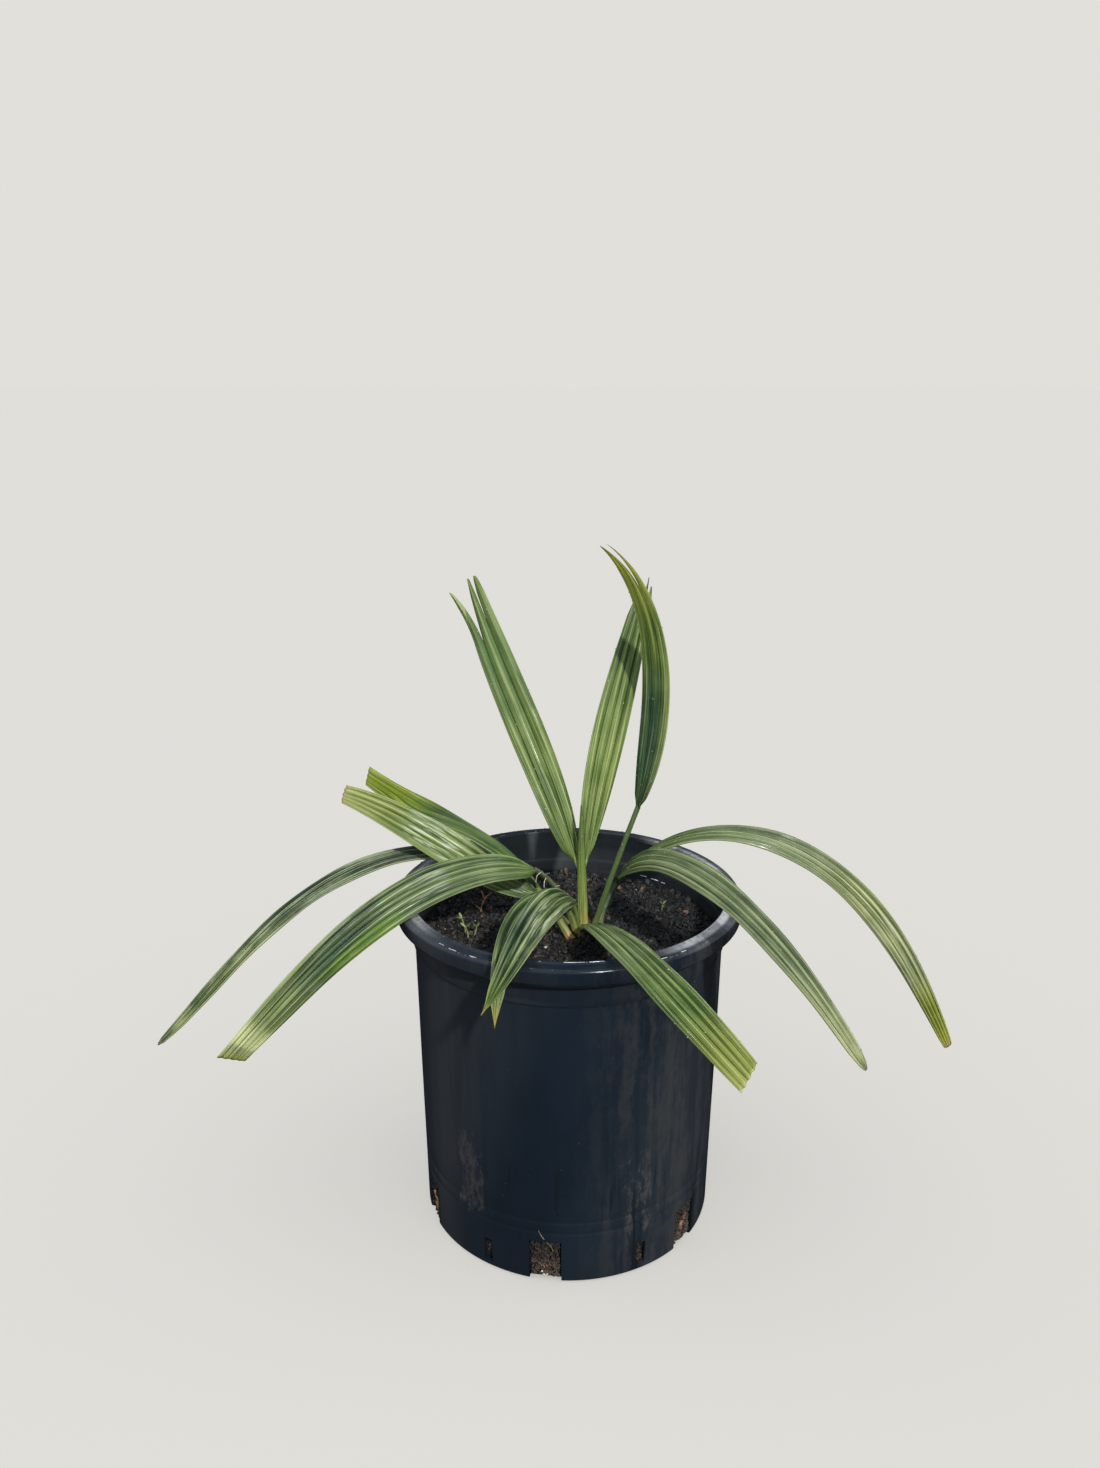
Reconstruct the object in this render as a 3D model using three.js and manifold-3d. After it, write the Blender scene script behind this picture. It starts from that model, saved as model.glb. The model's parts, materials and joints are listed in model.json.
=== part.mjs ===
// A young dwarf palmetto in a one gallon nursery pot, in millimetres, +Z up.
// The origin is the centre of the pot's flat underside, and -Y faces the viewer.
import * as THREE from "three";
import { mergeVertices } from "three/addons/utils/BufferGeometryUtils.js";
import Module from "manifold-3d";

const DEGREE = Math.PI / 180;

// Pot
const POT_HEIGHT = 167;
const POT_SEGMENTS = 48;
const FLOOR_THICKNESS = 2;
const FOOT_RADIUS = 69.4;
const LIP_RADIUS = 82.5;
const LIP_DROP = 8;
const LIP_WALL = 1.6;
const MOUTH_RADIUS = 74.7;
const WALL_FOOT_RADIUS = 71.3;
const WALL_STEP_RADIUS = 74.0;
const WALL_STEP_HEIGHT = 144.5;
const WALL_STEP_DEPTH = 0.9;
const WALL_THICKNESS = 1.5;
const GROOVE_HEIGHTS = [27, 33];
const GROOVE_DEPTH = 0.5;
const GROOVE_HALF_WIDTH = 0.9;

// Drain openings round the foot, by their angle from +X
const NOTCH_ANGLES = [-158, -98, -38, 22, 82, 142];
const NOTCH_WIDTH = 15;
const NOTCH_HEIGHT = 22;
const SLOT_ANGLES = [-121, -61, -1, 59, 119, 179];
const SLOT_WIDTH = 4.5;
const SLOT_BOTTOM = 3.5;
const SLOT_HEIGHT = 12;
const OPENING_INNER_RADIUS = 67.5;
const OPENING_OUTER_RADIUS = 90;

// Potting mix
const CLEARANCE = 0.3;
const SOIL_HEIGHT = 145;
const SOIL_RINGS = 7;
const SOIL_SPOKES = 40;
const SOIL_LUMP = 1.3;
const CROWN_X = 7;
const CROWN_Y = -3;
const CROWN_FLAT_RADIUS = 19;
const CROWN_BLEND = 12;

// Blades
const BLADE_THICKNESS = 1.4;
const BLADE_LENGTH_PER_THICKNESS = 92;
const BLADE_STEP = 12;
const BASE_WIDTH_RATIO = 0.12;
const FOLD_RATIO = 0.12;
const SPLIT_OPENING = 0.36;
const BEND_GAP = 0.35;
const PATH_STEPS = 400;

// Each lobe's midrib is a smooth path. heading is its compass angle from +X at the base and the tip.
// pitch and roll are its slope and its twist at the base, the middle and the tip, in degrees.
// shoulder is where the blade reaches its full width, tip the width left at the end and fall its curve.
// ends holds how far along the blade each pleat reaches, splits where each groove tears open,
// and spread how far a torn pleat has swung sideways at its end.
const LOBES = [
  {
    name: "frond_centre_left", start: [3.4, 4.8, 178.4], length: 150.4, width: 18.1,
    heading: [141.2, 126.1], pitch: [69.1, 55.1, 58], roll: [-1, 32.6, 51.7],
    shoulder: 0.31, tip: 0.59, fall: 4.1,
    ends: [0.98, 1, 1], splits: [0.72, 0.76], spread: [-6.5, 0, 0],
  },
  {
    name: "frond_centre_right", start: [8.5, 5.3, 179.0], length: 140.9, width: 17.6,
    heading: [60, 56], pitch: [75.7, 65.1, 65.9], roll: [-78.9, -37.3, -4.6],
    shoulder: 0.47, tip: 0.41, fall: 2.9,
    ends: [0.92, 0.96, 1, 0.97], splits: [0.9, 0.84, 0.93],
  },
  {
    name: "frond_tall", start: [32.5, 11.9, 201.9], length: 143.3, width: 17.6, bend: 0.5,
    heading: [38.4, 40.2], pitch: [72.1, 96.5, 148.5], roll: [20.4, -35.8, -75.2],
    shoulder: 0.32, tip: 0.19, fall: 1.5,
    ends: [1, 0.98, 0.96], splits: [1, 0.78],
  },
  {
    name: "frond_left_back", start: [-15.1, 7.1, 164.9], length: 103.8, width: 17.5,
    heading: [158, 155.9], pitch: [47.8, 18.6, 26], roll: [-39.4, -8.3, 24.1],
    shoulder: 0.31, tip: 0.61, fall: 3.4,
    ends: [1, 0.97, 0.99, 0.96], splits: [1, 1, 1],
  },
  {
    name: "frond_left_front", start: [-14, -0.1, 162.6], length: 106.1, width: 18,
    heading: [172.9, 168], pitch: [19, 29.9, 14.4], roll: [1.3, 42.8, 55.1],
    shoulder: 0.22, tip: 0.5, fall: 3,
    ends: [0.96, 1, 0.97, 0.95, 0.98], splits: [0.94, 1, 0.92, 1],
  },
  {
    name: "frond_far_left", start: [-23.9, 16.3, 165.7], length: 217.7, width: 17.8, bend: 0.4,
    heading: [177.6, 200.7], pitch: [36.3, -33.1, -42.4], roll: [-12.7, 16.9, 21.8],
    shoulder: 0.46, tip: 0.31, fall: 1.6,
    ends: [0.95, 0.98, 1, 0.97], splits: [0.97, 0.95, 0.96],
  },
  {
    name: "frond_low_left", start: [-14.9, -4, 177.5], length: 169.3, width: 17.4, bend: 0.4,
    heading: [210.8, 210.6], pitch: [26, -26.4, -39.3], roll: [9, 64, 104],
    shoulder: 0.11, tip: 0.66, fall: 1.6,
    ends: [0.96, 0.98, 1, 0.98, 0.97, 0.95], splits: [0.95, 1, 0.96, 1, 0.96],
  },
  {
    name: "frond_small_front", start: [2.6, -4.4, 162.2], length: 126.3, width: 16, bend: 0.45,
    heading: [251.7, 254.2], pitch: [38.7, -3.9, -6.1], roll: [31, 31.5, 33.5],
    shoulder: 0.34, tip: 0.09, fall: 2.6,
    ends: [1, 1, 1, 1], splits: [1, 1, 1],
  },
  {
    name: "frond_small_back", start: [1.2, -7.4, 161.6], length: 111, width: 14, bend: 0.45,
    heading: [237.8, 266.6], pitch: [29.5, -2.3, -67], roll: [48.8, 17.3, -8.7],
    shoulder: 0.21, tip: 0.19, fall: 2.7,
    ends: [1, 1, 1, 1], splits: [1, 1, 1],
  },
  {
    name: "frond_front_right", start: [9.9, -4.2, 149.2], length: 170.6, width: 17.4, bend: 0.5,
    heading: [-81.8, -60.5], pitch: [29, 4.9, -12], roll: [2.3, -1.2, -37.3],
    shoulder: 0.29, tip: 0.65, fall: 3.8,
    ends: [0.98, 0.97, 1, 0.96, 0.95], splits: [1, 0.95, 0.97, 1],
  },
  {
    name: "frond_right", start: [24.4, 14.4, 166], length: 185.6, width: 16.3, bend: 0.45,
    heading: [-66, -43.8], pitch: [50, -11.8, -47], roll: [-49, -8.8, -4.7],
    shoulder: 0.17, tip: 0.31, fall: 3.5,
    ends: [0.97, 0.99, 1, 0.98], splits: [0.96, 0.95, 0.97],
  },
  {
    name: "frond_far_right", start: [26.5, 17.4, 165.9], length: 222, width: 17.5, bend: 0.4,
    heading: [1.4, -17.3], pitch: [53.3, -35, -63.5], roll: [15, -30.4, -83.7],
    shoulder: 0.45, tip: 0.28, fall: 2.9,
    ends: [0.94, 0.97, 1, 0.98, 0.95], splits: [0.96, 0.94, 0.96, 0.95],
  },
];

// Each stalk bows through its middle point. wide and deep are its half widths at the foot and the tip.
const STALK_SIDES = 10;
const STALK_STEPS = 9;
const STALKS = [
  {
    name: "stalk_centre", path: [[7.4, -0.2, 145.3], [6.3, 2.2, 176], [5.9, 3.4, 208]],
    wide: [2.7, 2.5, 0.4], deep: [1.9, 1.6, 0.35],
  },
  {
    name: "stalk_tall", path: [[12.6, 2.6, 145.3], [21.8, 6.8, 173], [32.2, 11.7, 201.3]],
    wide: [1.5, 1.3, 1.2], deep: [1.5, 1.2, 1.1],
  },
  {
    name: "stalk_right", path: [[15.6, 6, 145.3], [19.6, 12.5, 155.5], [25.9, 17.1, 164.9]],
    wide: [1.4, 1.3, 1.5], deep: [1.4, 1.2, 1.5],
  },
  {
    name: "stalk_left_back", path: [[1.3, -11.7, 145.3], [-5.5, -5.5, 154.6], [-13.2, 3.4, 162.2]],
    wide: [2.0, 1.6, 1.6], deep: [1.8, 1.4, 1.9],
  },
  {
    name: "stalk_low_left", path: [[4.2, -8.5, 145.3], [-2.9, -4.6, 164], [-14.2, -4, 177.0]],
    wide: [1.7, 1.4, 1.2], deep: [1.6, 1.2, 1.0],
  },
  {
    name: "stalk_far_left", path: [[1.6, 1.6, 145.3], [-10, 11, 153.2], [-23.5, 16.2, 165.2]],
    wide: [1.6, 1.3, 1.2], deep: [1.5, 1.2, 1.0],
  },
  {
    name: "stalk_small", path: [[5.2, -4.2, 145.3], [4.2, -4.5, 153], [2.4, -5.6, 160.3]],
    wide: [1.1, 1.0, 1.2], deep: [1.1, 1.0, 1.9],
  },
  {
    name: "stalk_front_right", path: [[11.2, -3.4, 145.3], [10.6, -3.2, 147], [9.9, -3.6, 148.35]],
    wide: [1.3, 1.2, 1.1], deep: [1.2, 1.0, 0.9],
  },
];

const POT_LOOK = { color: 0x161b22, roughness: 0.38, metalness: 0 };
const SOIL_LOOK = { color: 0x2b221b, roughness: 0.95, metalness: 0 };
const BLADE_LOOK = { color: 0x4c7a3b, roughness: 0.5, metalness: 0 };
const STALK_LOOK = { color: 0x8aa454, roughness: 0.55, metalness: 0 };

const wasm = await Module();
wasm.setup();

function solidOf(geometry) {
  const bare = geometry.clone();
  bare.deleteAttribute("normal");
  bare.deleteAttribute("uv");
  const merged = mergeVertices(bare, 1e-3);
  return new wasm.Manifold(
    new wasm.Mesh({
      numProp: 3,
      vertProperties: merged.attributes.position.array,
      triVerts: new Uint32Array(merged.index.array),
    }),
  );
}

function geometryOf(solid) {
  const mesh = solid.getMesh();
  const geometry = new THREE.BufferGeometry();
  geometry.setAttribute("position", new THREE.BufferAttribute(mesh.vertProperties, 3));
  geometry.setIndex(new THREE.BufferAttribute(mesh.triVerts, 1));
  geometry.computeVertexNormals();
  return geometry;
}

// A profile of [radius, height] pairs turned about the Z axis
function turned(profile, segments) {
  const points = profile.map(([radius, height]) => new THREE.Vector2(radius, height));
  return new THREE.LatheGeometry(points, segments).rotateX(Math.PI / 2);
}

function wallRadiusAt(height) {
  const share = height / WALL_STEP_HEIGHT;
  return WALL_FOOT_RADIUS + (WALL_STEP_RADIUS - WALL_FOOT_RADIUS) * share;
}

function potGeometry() {
  const profile = [[0, 0], [FOOT_RADIUS, 0], [WALL_FOOT_RADIUS - 0.6, 0.7], [WALL_FOOT_RADIUS, 2.4]];
  for (const height of GROOVE_HEIGHTS) {
    profile.push([wallRadiusAt(height - GROOVE_HALF_WIDTH), height - GROOVE_HALF_WIDTH]);
    profile.push([wallRadiusAt(height) - GROOVE_DEPTH, height]);
    profile.push([wallRadiusAt(height + GROOVE_HALF_WIDTH), height + GROOVE_HALF_WIDTH]);
  }
  const neck = WALL_STEP_RADIUS + WALL_STEP_DEPTH;
  const lipBottom = POT_HEIGHT - LIP_DROP;
  profile.push([WALL_STEP_RADIUS, WALL_STEP_HEIGHT]);
  profile.push([neck, WALL_STEP_HEIGHT + 1]);
  profile.push([neck + 0.5, lipBottom - 4]);
  // The rolled lip, hollow below, with a bead under its skirt
  profile.push([neck + 3, lipBottom - 3.4]);
  profile.push([neck + 3, lipBottom - 2.4]);
  profile.push([neck + 1.3, lipBottom - 1.8]);
  profile.push([neck + 1.5, POT_HEIGHT - 2.2]);
  profile.push([LIP_RADIUS - LIP_WALL, POT_HEIGHT - 2.4]);
  profile.push([LIP_RADIUS - LIP_WALL, lipBottom]);
  profile.push([LIP_RADIUS - 0.2, lipBottom]);
  profile.push([LIP_RADIUS, lipBottom + 1]);
  profile.push([LIP_RADIUS, POT_HEIGHT - 1.8]);
  profile.push([LIP_RADIUS - 0.9, POT_HEIGHT - 0.4]);
  profile.push([LIP_RADIUS - 2.2, POT_HEIGHT]);
  profile.push([MOUTH_RADIUS + 0.9, POT_HEIGHT - 0.3]);
  profile.push([MOUTH_RADIUS, POT_HEIGHT - 1.3]);
  // The inside, with the ring where the neck steps in to the wall
  profile.push([neck - WALL_THICKNESS + 0.6, WALL_STEP_HEIGHT + 7]);
  profile.push([WALL_STEP_RADIUS - WALL_THICKNESS + 0.3, WALL_STEP_HEIGHT + 6]);
  profile.push([WALL_STEP_RADIUS - WALL_THICKNESS, WALL_STEP_HEIGHT]);
  profile.push([WALL_FOOT_RADIUS - WALL_THICKNESS, FLOOR_THICKNESS + 1]);
  profile.push([WALL_FOOT_RADIUS - WALL_THICKNESS - 1, FLOOR_THICKNESS]);
  profile.push([0, FLOOR_THICKNESS]);
  let pot = solidOf(turned(profile, POT_SEGMENTS));
  for (const angle of NOTCH_ANGLES) {
    pot = pot.subtract(opening(angle, NOTCH_WIDTH, -1, NOTCH_HEIGHT));
  }
  for (const angle of SLOT_ANGLES) {
    pot = pot.subtract(opening(angle, SLOT_WIDTH, SLOT_BOTTOM, SLOT_BOTTOM + SLOT_HEIGHT));
  }
  return geometryOf(pot);
}

function opening(angle, width, bottom, top) {
  const depth = OPENING_OUTER_RADIUS - OPENING_INNER_RADIUS;
  const box = new THREE.BoxGeometry(depth, width, top - bottom);
  box.translate((OPENING_OUTER_RADIUS + OPENING_INNER_RADIUS) / 2, 0, (top + bottom) / 2);
  box.rotateZ(angle * DEGREE);
  return solidOf(box);
}

// Low lumps on the mix, level round the crown and along the wall
function soilHeightAt(x, y, share) {
  const waves =
    Math.sin(x * 0.21 + 1.3) * Math.cos(y * 0.17 - 0.4) +
    0.6 * Math.sin(x * 0.11 - y * 0.29 + 2.1) +
    0.4 * Math.cos(x * 0.37 + y * 0.31);
  const reach = Math.hypot(x - CROWN_X, y - CROWN_Y);
  const away = THREE.MathUtils.smoothstep(reach, CROWN_FLAT_RADIUS, CROWN_FLAT_RADIUS + CROWN_BLEND);
  const inside = 1 - THREE.MathUtils.smoothstep(share, 0.8, 1);
  return SOIL_HEIGHT + SOIL_LUMP * 0.5 * waves * away * inside;
}

function soilGeometry() {
  const bottom = FLOOR_THICKNESS + CLEARANCE;
  const footRadius = WALL_FOOT_RADIUS - WALL_THICKNESS - 1.25;
  const topRadius = WALL_STEP_RADIUS - WALL_THICKNESS - CLEARANCE - 0.2;
  const rings = [[footRadius, () => bottom]];
  for (let ring = SOIL_RINGS; ring >= 1; ring -= 1) {
    const share = ring / SOIL_RINGS;
    rings.push([topRadius * share, (x, y) => soilHeightAt(x, y, share)]);
  }
  const positions = [];
  const at = ([radius, height], spoke) => {
    const angle = (2 * Math.PI * spoke) / SOIL_SPOKES;
    const x = radius * Math.cos(angle);
    const y = radius * Math.sin(angle);
    return [x, y, height(x, y)];
  };
  for (let spoke = 0; spoke < SOIL_SPOKES; spoke += 1) {
    positions.push(0, 0, bottom, ...at(rings[0], spoke + 1), ...at(rings[0], spoke));
    for (let ring = 0; ring + 1 < rings.length; ring += 1) {
      const [a, b] = [at(rings[ring], spoke), at(rings[ring], spoke + 1)];
      const [c, d] = [at(rings[ring + 1], spoke), at(rings[ring + 1], spoke + 1)];
      positions.push(...a, ...b, ...d, ...a, ...d, ...c);
    }
    const last = rings[rings.length - 1];
    positions.push(...at(last, spoke), ...at(last, spoke + 1), 0, 0, soilHeightAt(0, 0, 0));
  }
  return trianglesGeometry(positions);
}

function trianglesGeometry(positions) {
  const geometry = new THREE.BufferGeometry();
  geometry.setAttribute("position", new THREE.Float32BufferAttribute(positions, 3));
  geometry.computeVertexNormals();
  return geometry;
}

// A smooth value through three given at the base, the middle and the tip
function through([base, middle, tip], s) {
  return base * (1 - s) * (1 - 2 * s) + middle * 4 * s * (1 - s) + tip * s * (2 * s - 1);
}

function lobeAxes(lobe, s) {
  const heading = THREE.MathUtils.lerp(lobe.heading[0], lobe.heading[1], s) * DEGREE;
  const pitch = through(lobe.pitch, s) * DEGREE;
  const roll = through(lobe.roll, s) * DEGREE;
  const along = new THREE.Vector3(
    Math.cos(pitch) * Math.cos(heading),
    Math.cos(pitch) * Math.sin(heading),
    Math.sin(pitch),
  );
  const level = new THREE.Vector3(Math.sin(heading), -Math.cos(heading), 0);
  const raised = level.clone().cross(along);
  const side = level.clone().multiplyScalar(Math.cos(roll)).addScaledVector(raised, Math.sin(roll));
  const face = side.clone().cross(along);
  return { along, side, face };
}

// The midrib's points, equal steps apart
function lobePath(lobe) {
  const points = [new THREE.Vector3(...lobe.start)];
  for (let i = 0; i < PATH_STEPS; i += 1) {
    const { along } = lobeAxes(lobe, (i + 0.5) / PATH_STEPS);
    points.push(points[i].clone().addScaledVector(along, lobe.length / PATH_STEPS));
  }
  return points;
}

function pointOn(path, s) {
  const place = s * PATH_STEPS;
  const index = Math.min(Math.floor(place), PATH_STEPS - 1);
  return path[index].clone().lerp(path[index + 1], place - index);
}

function halfWidthAt(lobe, s) {
  const open = Math.min(s / lobe.shoulder, 1);
  const rise = BASE_WIDTH_RATIO + (1 - BASE_WIDTH_RATIO) * Math.sqrt(1 - (1 - open) ** 2);
  return (lobe.width / 2) * rise * (1 - (1 - lobe.tip) * s ** lobe.fall);
}

// A lobe is a pleated sheet: each pleat has a groove on both sides of its ridge.
// Pleats part where a groove has torn, and each one ends at its own length.
function bladeGeometry(lobe, from, to) {
  const path = lobePath(lobe);
  const pleats = lobe.ends.length;
  const thickness = Math.max(BLADE_THICKNESS, ((to - from) * lobe.length) / BLADE_LENGTH_PER_THICKNESS);
  const count = Math.ceil(((to - from) * lobe.length) / BLADE_STEP);
  const stations = new Set([from, to]);
  for (let i = 1; i < count; i += 1) {
    stations.add(from + ((to - from) * i) / count);
  }
  const cuts = [...lobe.ends, ...lobe.splits].filter((s) => s > from && s < to);
  const spacing = 3 / lobe.length;
  const kept = [...stations].filter((s) => s === from || s === to || cuts.every((c) => Math.abs(c - s) > spacing));
  const sorted = [...new Set([...kept, ...cuts])].sort((a, b) => a - b);
  const tearAt = (groove, s) => {
    if (groove < 0 || groove >= lobe.splits.length || s <= lobe.splits[groove]) return 0;
    const end = Math.max(lobe.ends[groove], lobe.ends[groove + 1]);
    return (SPLIT_OPENING * (s - lobe.splits[groove])) / (end - lobe.splits[groove]);
  };
  const rows = sorted.map((s) => {
    const { side, face } = lobeAxes(lobe, s);
    const middle = pointOn(path, s);
    const half = halfWidthAt(lobe, s);
    const pleatWidth = (2 * half) / pleats;
    const place = (u, height) => {
      const point = middle.clone().addScaledVector(side, u).addScaledVector(face, height);
      return [point.x, point.y, point.z];
    };
    return lobe.ends.map((end, pleat) => {
      const free = Math.max(...lobe.splits.slice(Math.max(pleat - 1, 0), pleat + 1));
      const swung = lobe.spread ? lobe.spread[pleat] * (Math.max(s - free, 0) / (end - free)) ** 2 : 0;
      const left = swung - half + pleatWidth * (pleat + tearAt(pleat - 1, s));
      const right = swung - half + pleatWidth * (pleat + 1 - tearAt(pleat, s));
      const ridge = pleatWidth * FOLD_RATIO;
      const places = [[left, -ridge], [(left + right) / 2, ridge], [right, -ridge]];
      return {
        top: places.map(([u, height]) => place(u, height + thickness / 2)),
        bottom: places.map(([u, height]) => place(u, height - thickness / 2)),
      };
    });
  });
  const positions = [];
  const quad = (a, b, c, d) => positions.push(...a, ...b, ...c, ...a, ...c, ...d);
  const present = (pleat, i) =>
    pleat >= 0 && pleat < pleats && i >= 0 && i + 1 < sorted.length && sorted[i + 1] <= lobe.ends[pleat] + 1e-9;
  const cap = (section, forward) => {
    for (let k = 0; k < 2; k += 1) {
      const corners = [section.top[k], section.top[k + 1], section.bottom[k + 1], section.bottom[k]];
      quad(...(forward ? corners : corners.reverse()));
    }
  };
  for (let i = 0; i + 1 < sorted.length; i += 1) {
    for (let pleat = 0; pleat < pleats; pleat += 1) {
      if (!present(pleat, i)) continue;
      const near = rows[i][pleat];
      const far = rows[i + 1][pleat];
      for (let k = 0; k < 2; k += 1) {
        quad(near.top[k], near.top[k + 1], far.top[k + 1], far.top[k]);
        quad(near.bottom[k], far.bottom[k], far.bottom[k + 1], near.bottom[k + 1]);
      }
      const torn = (groove) => tearAt(groove, sorted[i + 1]) > 0;
      if (!present(pleat - 1, i) || torn(pleat - 1)) {
        quad(near.top[0], far.top[0], far.bottom[0], near.bottom[0]);
      }
      if (!present(pleat + 1, i) || torn(pleat)) {
        quad(near.top[2], near.bottom[2], far.bottom[2], far.top[2]);
      }
      if (!present(pleat, i - 1)) cap(near, false);
      if (!present(pleat, i + 1)) cap(far, true);
    }
  }
  return trianglesGeometry(positions);
}

// A tapering stalk with its path through three points
function stalkGeometry({ path, wide, deep }) {
  const [foot, middle, tip] = path.map((p) => new THREE.Vector3(...p));
  const control = middle.clone().multiplyScalar(2).addScaledVector(foot, -0.5).addScaledVector(tip, -0.5);
  const curve = new THREE.QuadraticBezierCurve3(foot, control, tip);
  const rings = [];
  for (let i = 0; i <= STALK_STEPS; i += 1) {
    const s = i / STALK_STEPS;
    const along = curve.getTangent(s);
    const across = new THREE.Vector3(0, 1, 0).cross(along).normalize();
    const depth = along.clone().cross(across);
    const centre = curve.getPoint(s);
    const ring = [];
    for (let k = 0; k < STALK_SIDES; k += 1) {
      const angle = (2 * Math.PI * k) / STALK_SIDES;
      const point = centre
        .clone()
        .addScaledVector(across, through(wide, s) * Math.cos(angle))
        .addScaledVector(depth, through(deep, s) * Math.sin(angle));
      if (i === 0) point.z = foot.z;
      ring.push([point.x, point.y, point.z]);
    }
    rings.push({ ring, centre: [centre.x, centre.y, centre.z] });
  }
  const positions = [];
  for (let k = 0; k < STALK_SIDES; k += 1) {
    const next = (k + 1) % STALK_SIDES;
    for (let i = 0; i < STALK_STEPS; i += 1) {
      const [a, b] = [rings[i].ring[k], rings[i].ring[next]];
      const [c, d] = [rings[i + 1].ring[next], rings[i + 1].ring[k]];
      positions.push(...a, ...b, ...c, ...a, ...c, ...d);
    }
    const last = rings[STALK_STEPS];
    positions.push(...rings[0].centre, ...rings[0].ring[next], ...rings[0].ring[k]);
    positions.push(...last.centre, ...last.ring[k], ...last.ring[next]);
  }
  return trianglesGeometry(positions);
}

function meshOf(name, geometry, look) {
  const mesh = new THREE.Mesh(geometry, new THREE.MeshStandardMaterial(look));
  mesh.name = name;
  return mesh;
}

const palmetto = new THREE.Group();
palmetto.add(meshOf("pot", potGeometry(), POT_LOOK));
palmetto.add(meshOf("soil", soilGeometry(), SOIL_LOOK));
for (const stalk of STALKS) {
  palmetto.add(meshOf(stalk.name, stalkGeometry(stalk), STALK_LOOK));
}
for (const lobe of LOBES) {
  if (lobe.bend) {
    const gap = BEND_GAP / 2 / lobe.length;
    palmetto.add(meshOf(`${lobe.name}_inner`, bladeGeometry(lobe, 0, lobe.bend - gap), BLADE_LOOK));
    palmetto.add(meshOf(`${lobe.name}_outer`, bladeGeometry(lobe, lobe.bend + gap, 1), BLADE_LOOK));
  } else {
    palmetto.add(meshOf(lobe.name, bladeGeometry(lobe, 0, 1), BLADE_LOOK));
  }
}

export default palmetto;
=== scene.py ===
import json
import math

import bmesh
import bpy
import numpy as np
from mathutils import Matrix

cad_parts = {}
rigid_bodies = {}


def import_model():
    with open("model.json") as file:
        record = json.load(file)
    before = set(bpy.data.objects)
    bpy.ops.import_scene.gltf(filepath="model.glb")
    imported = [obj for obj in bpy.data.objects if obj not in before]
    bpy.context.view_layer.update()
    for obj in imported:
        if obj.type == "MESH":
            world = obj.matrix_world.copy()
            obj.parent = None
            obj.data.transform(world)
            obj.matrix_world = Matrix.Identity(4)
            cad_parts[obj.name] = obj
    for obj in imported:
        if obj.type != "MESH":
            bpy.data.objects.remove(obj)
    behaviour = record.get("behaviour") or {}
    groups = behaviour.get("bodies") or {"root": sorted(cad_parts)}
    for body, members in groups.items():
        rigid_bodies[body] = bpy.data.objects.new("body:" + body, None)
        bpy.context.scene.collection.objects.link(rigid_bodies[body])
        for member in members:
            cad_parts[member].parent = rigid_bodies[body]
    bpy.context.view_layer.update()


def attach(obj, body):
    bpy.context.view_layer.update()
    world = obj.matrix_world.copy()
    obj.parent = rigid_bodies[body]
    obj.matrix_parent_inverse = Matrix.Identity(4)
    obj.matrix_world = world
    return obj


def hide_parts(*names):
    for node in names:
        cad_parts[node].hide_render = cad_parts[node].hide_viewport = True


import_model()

MM = 0.001
rng = np.random.default_rng(44)

# Pot and mix, in millimetres and degrees, with the CAD model's sizes
POT_HEIGHT = 167.0
LIP_RADIUS = 82.5
LIP_DROP = 8.0
LIP_WALL = 1.6
MOUTH_RADIUS = 74.7
WALL_FOOT_RADIUS = 71.3
WALL_STEP_RADIUS = 74.0
WALL_STEP_HEIGHT = 144.5
WALL_STEP_DEPTH = 0.9
WALL_THICKNESS = 1.5
FLOOR_THICKNESS = 2.0
GROOVE_HEIGHTS = (27.0, 33.0)
NOTCH_ANGLES = (-158, -98, -38, 22, 82, 142)
NOTCH_WIDTH = 15.0
NOTCH_HEIGHT = 22.0
SLOT_ANGLES = (-121, -61, -1, 59, 119, 179)
SLOT_WIDTH = 4.5
SLOT_BOTTOM = 3.5
SLOT_HEIGHT = 12.0
SOIL_TOP = 144.4
CROWN = (7.0, -3.0)
MOUND_HEIGHT = 1.5
MOUND_REACH = 16.0
SOIL_GAP = 0.35
SOIL_REACH = 71.0
CUTTER_REACH = (67.5, 90.0)
ROOTY_NOTCH = -158

# Blades and stalks, in millimetres
BASE_WIDTH_RATIO = 0.12
BASE_PINCH = 7.0
TRIM_REACH = 22.0
SHEET = 0.42
PLEAT_CELLS = 10
STATION_STEP = 1.25
STALK_SIDES = 36
BRANCH_RADIUS = 1.25
BRANCH_TIP_RADIUS = 0.45

# How far water stands up as a relief, in metres
WATER_RELIEF = 0.00002

# The camera's place in metres, and how far it looks down and to the left in degrees
CAMERA_PLACE = (0.0, -0.5305, 0.4046)
CAMERA_DOWN = 16.83
CAMERA_LEFT = 0.959
SENSOR = 36.0
FOCAL_PIXELS = 1200
FRAME_PIXELS = 1468

# The backdrop as an sRGB value, and the floor's own and its added light as linear values
BACKDROP = (225, 224, 219)
FLOOR_SHADE = (0.503, 0.446, 0.380)
FLOOR_GLOW = (0.437, 0.432, 0.411)

# The sky's light from straight down to straight up, as linear values
SKY = (
    (0.40, (0.08, 0.08, 0.078)), (0.5, (0.18, 0.185, 0.19)),
    (0.62, (0.68, 0.74, 0.81)), (1.0, (0.80, 0.90, 1.02)))

# The sun, used once for the plant and once for the pot
KEY = dict(energy=3.3, spread=3, rotation=(52, 0, 22), colour=(1.0, 0.98, 0.94))

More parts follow.
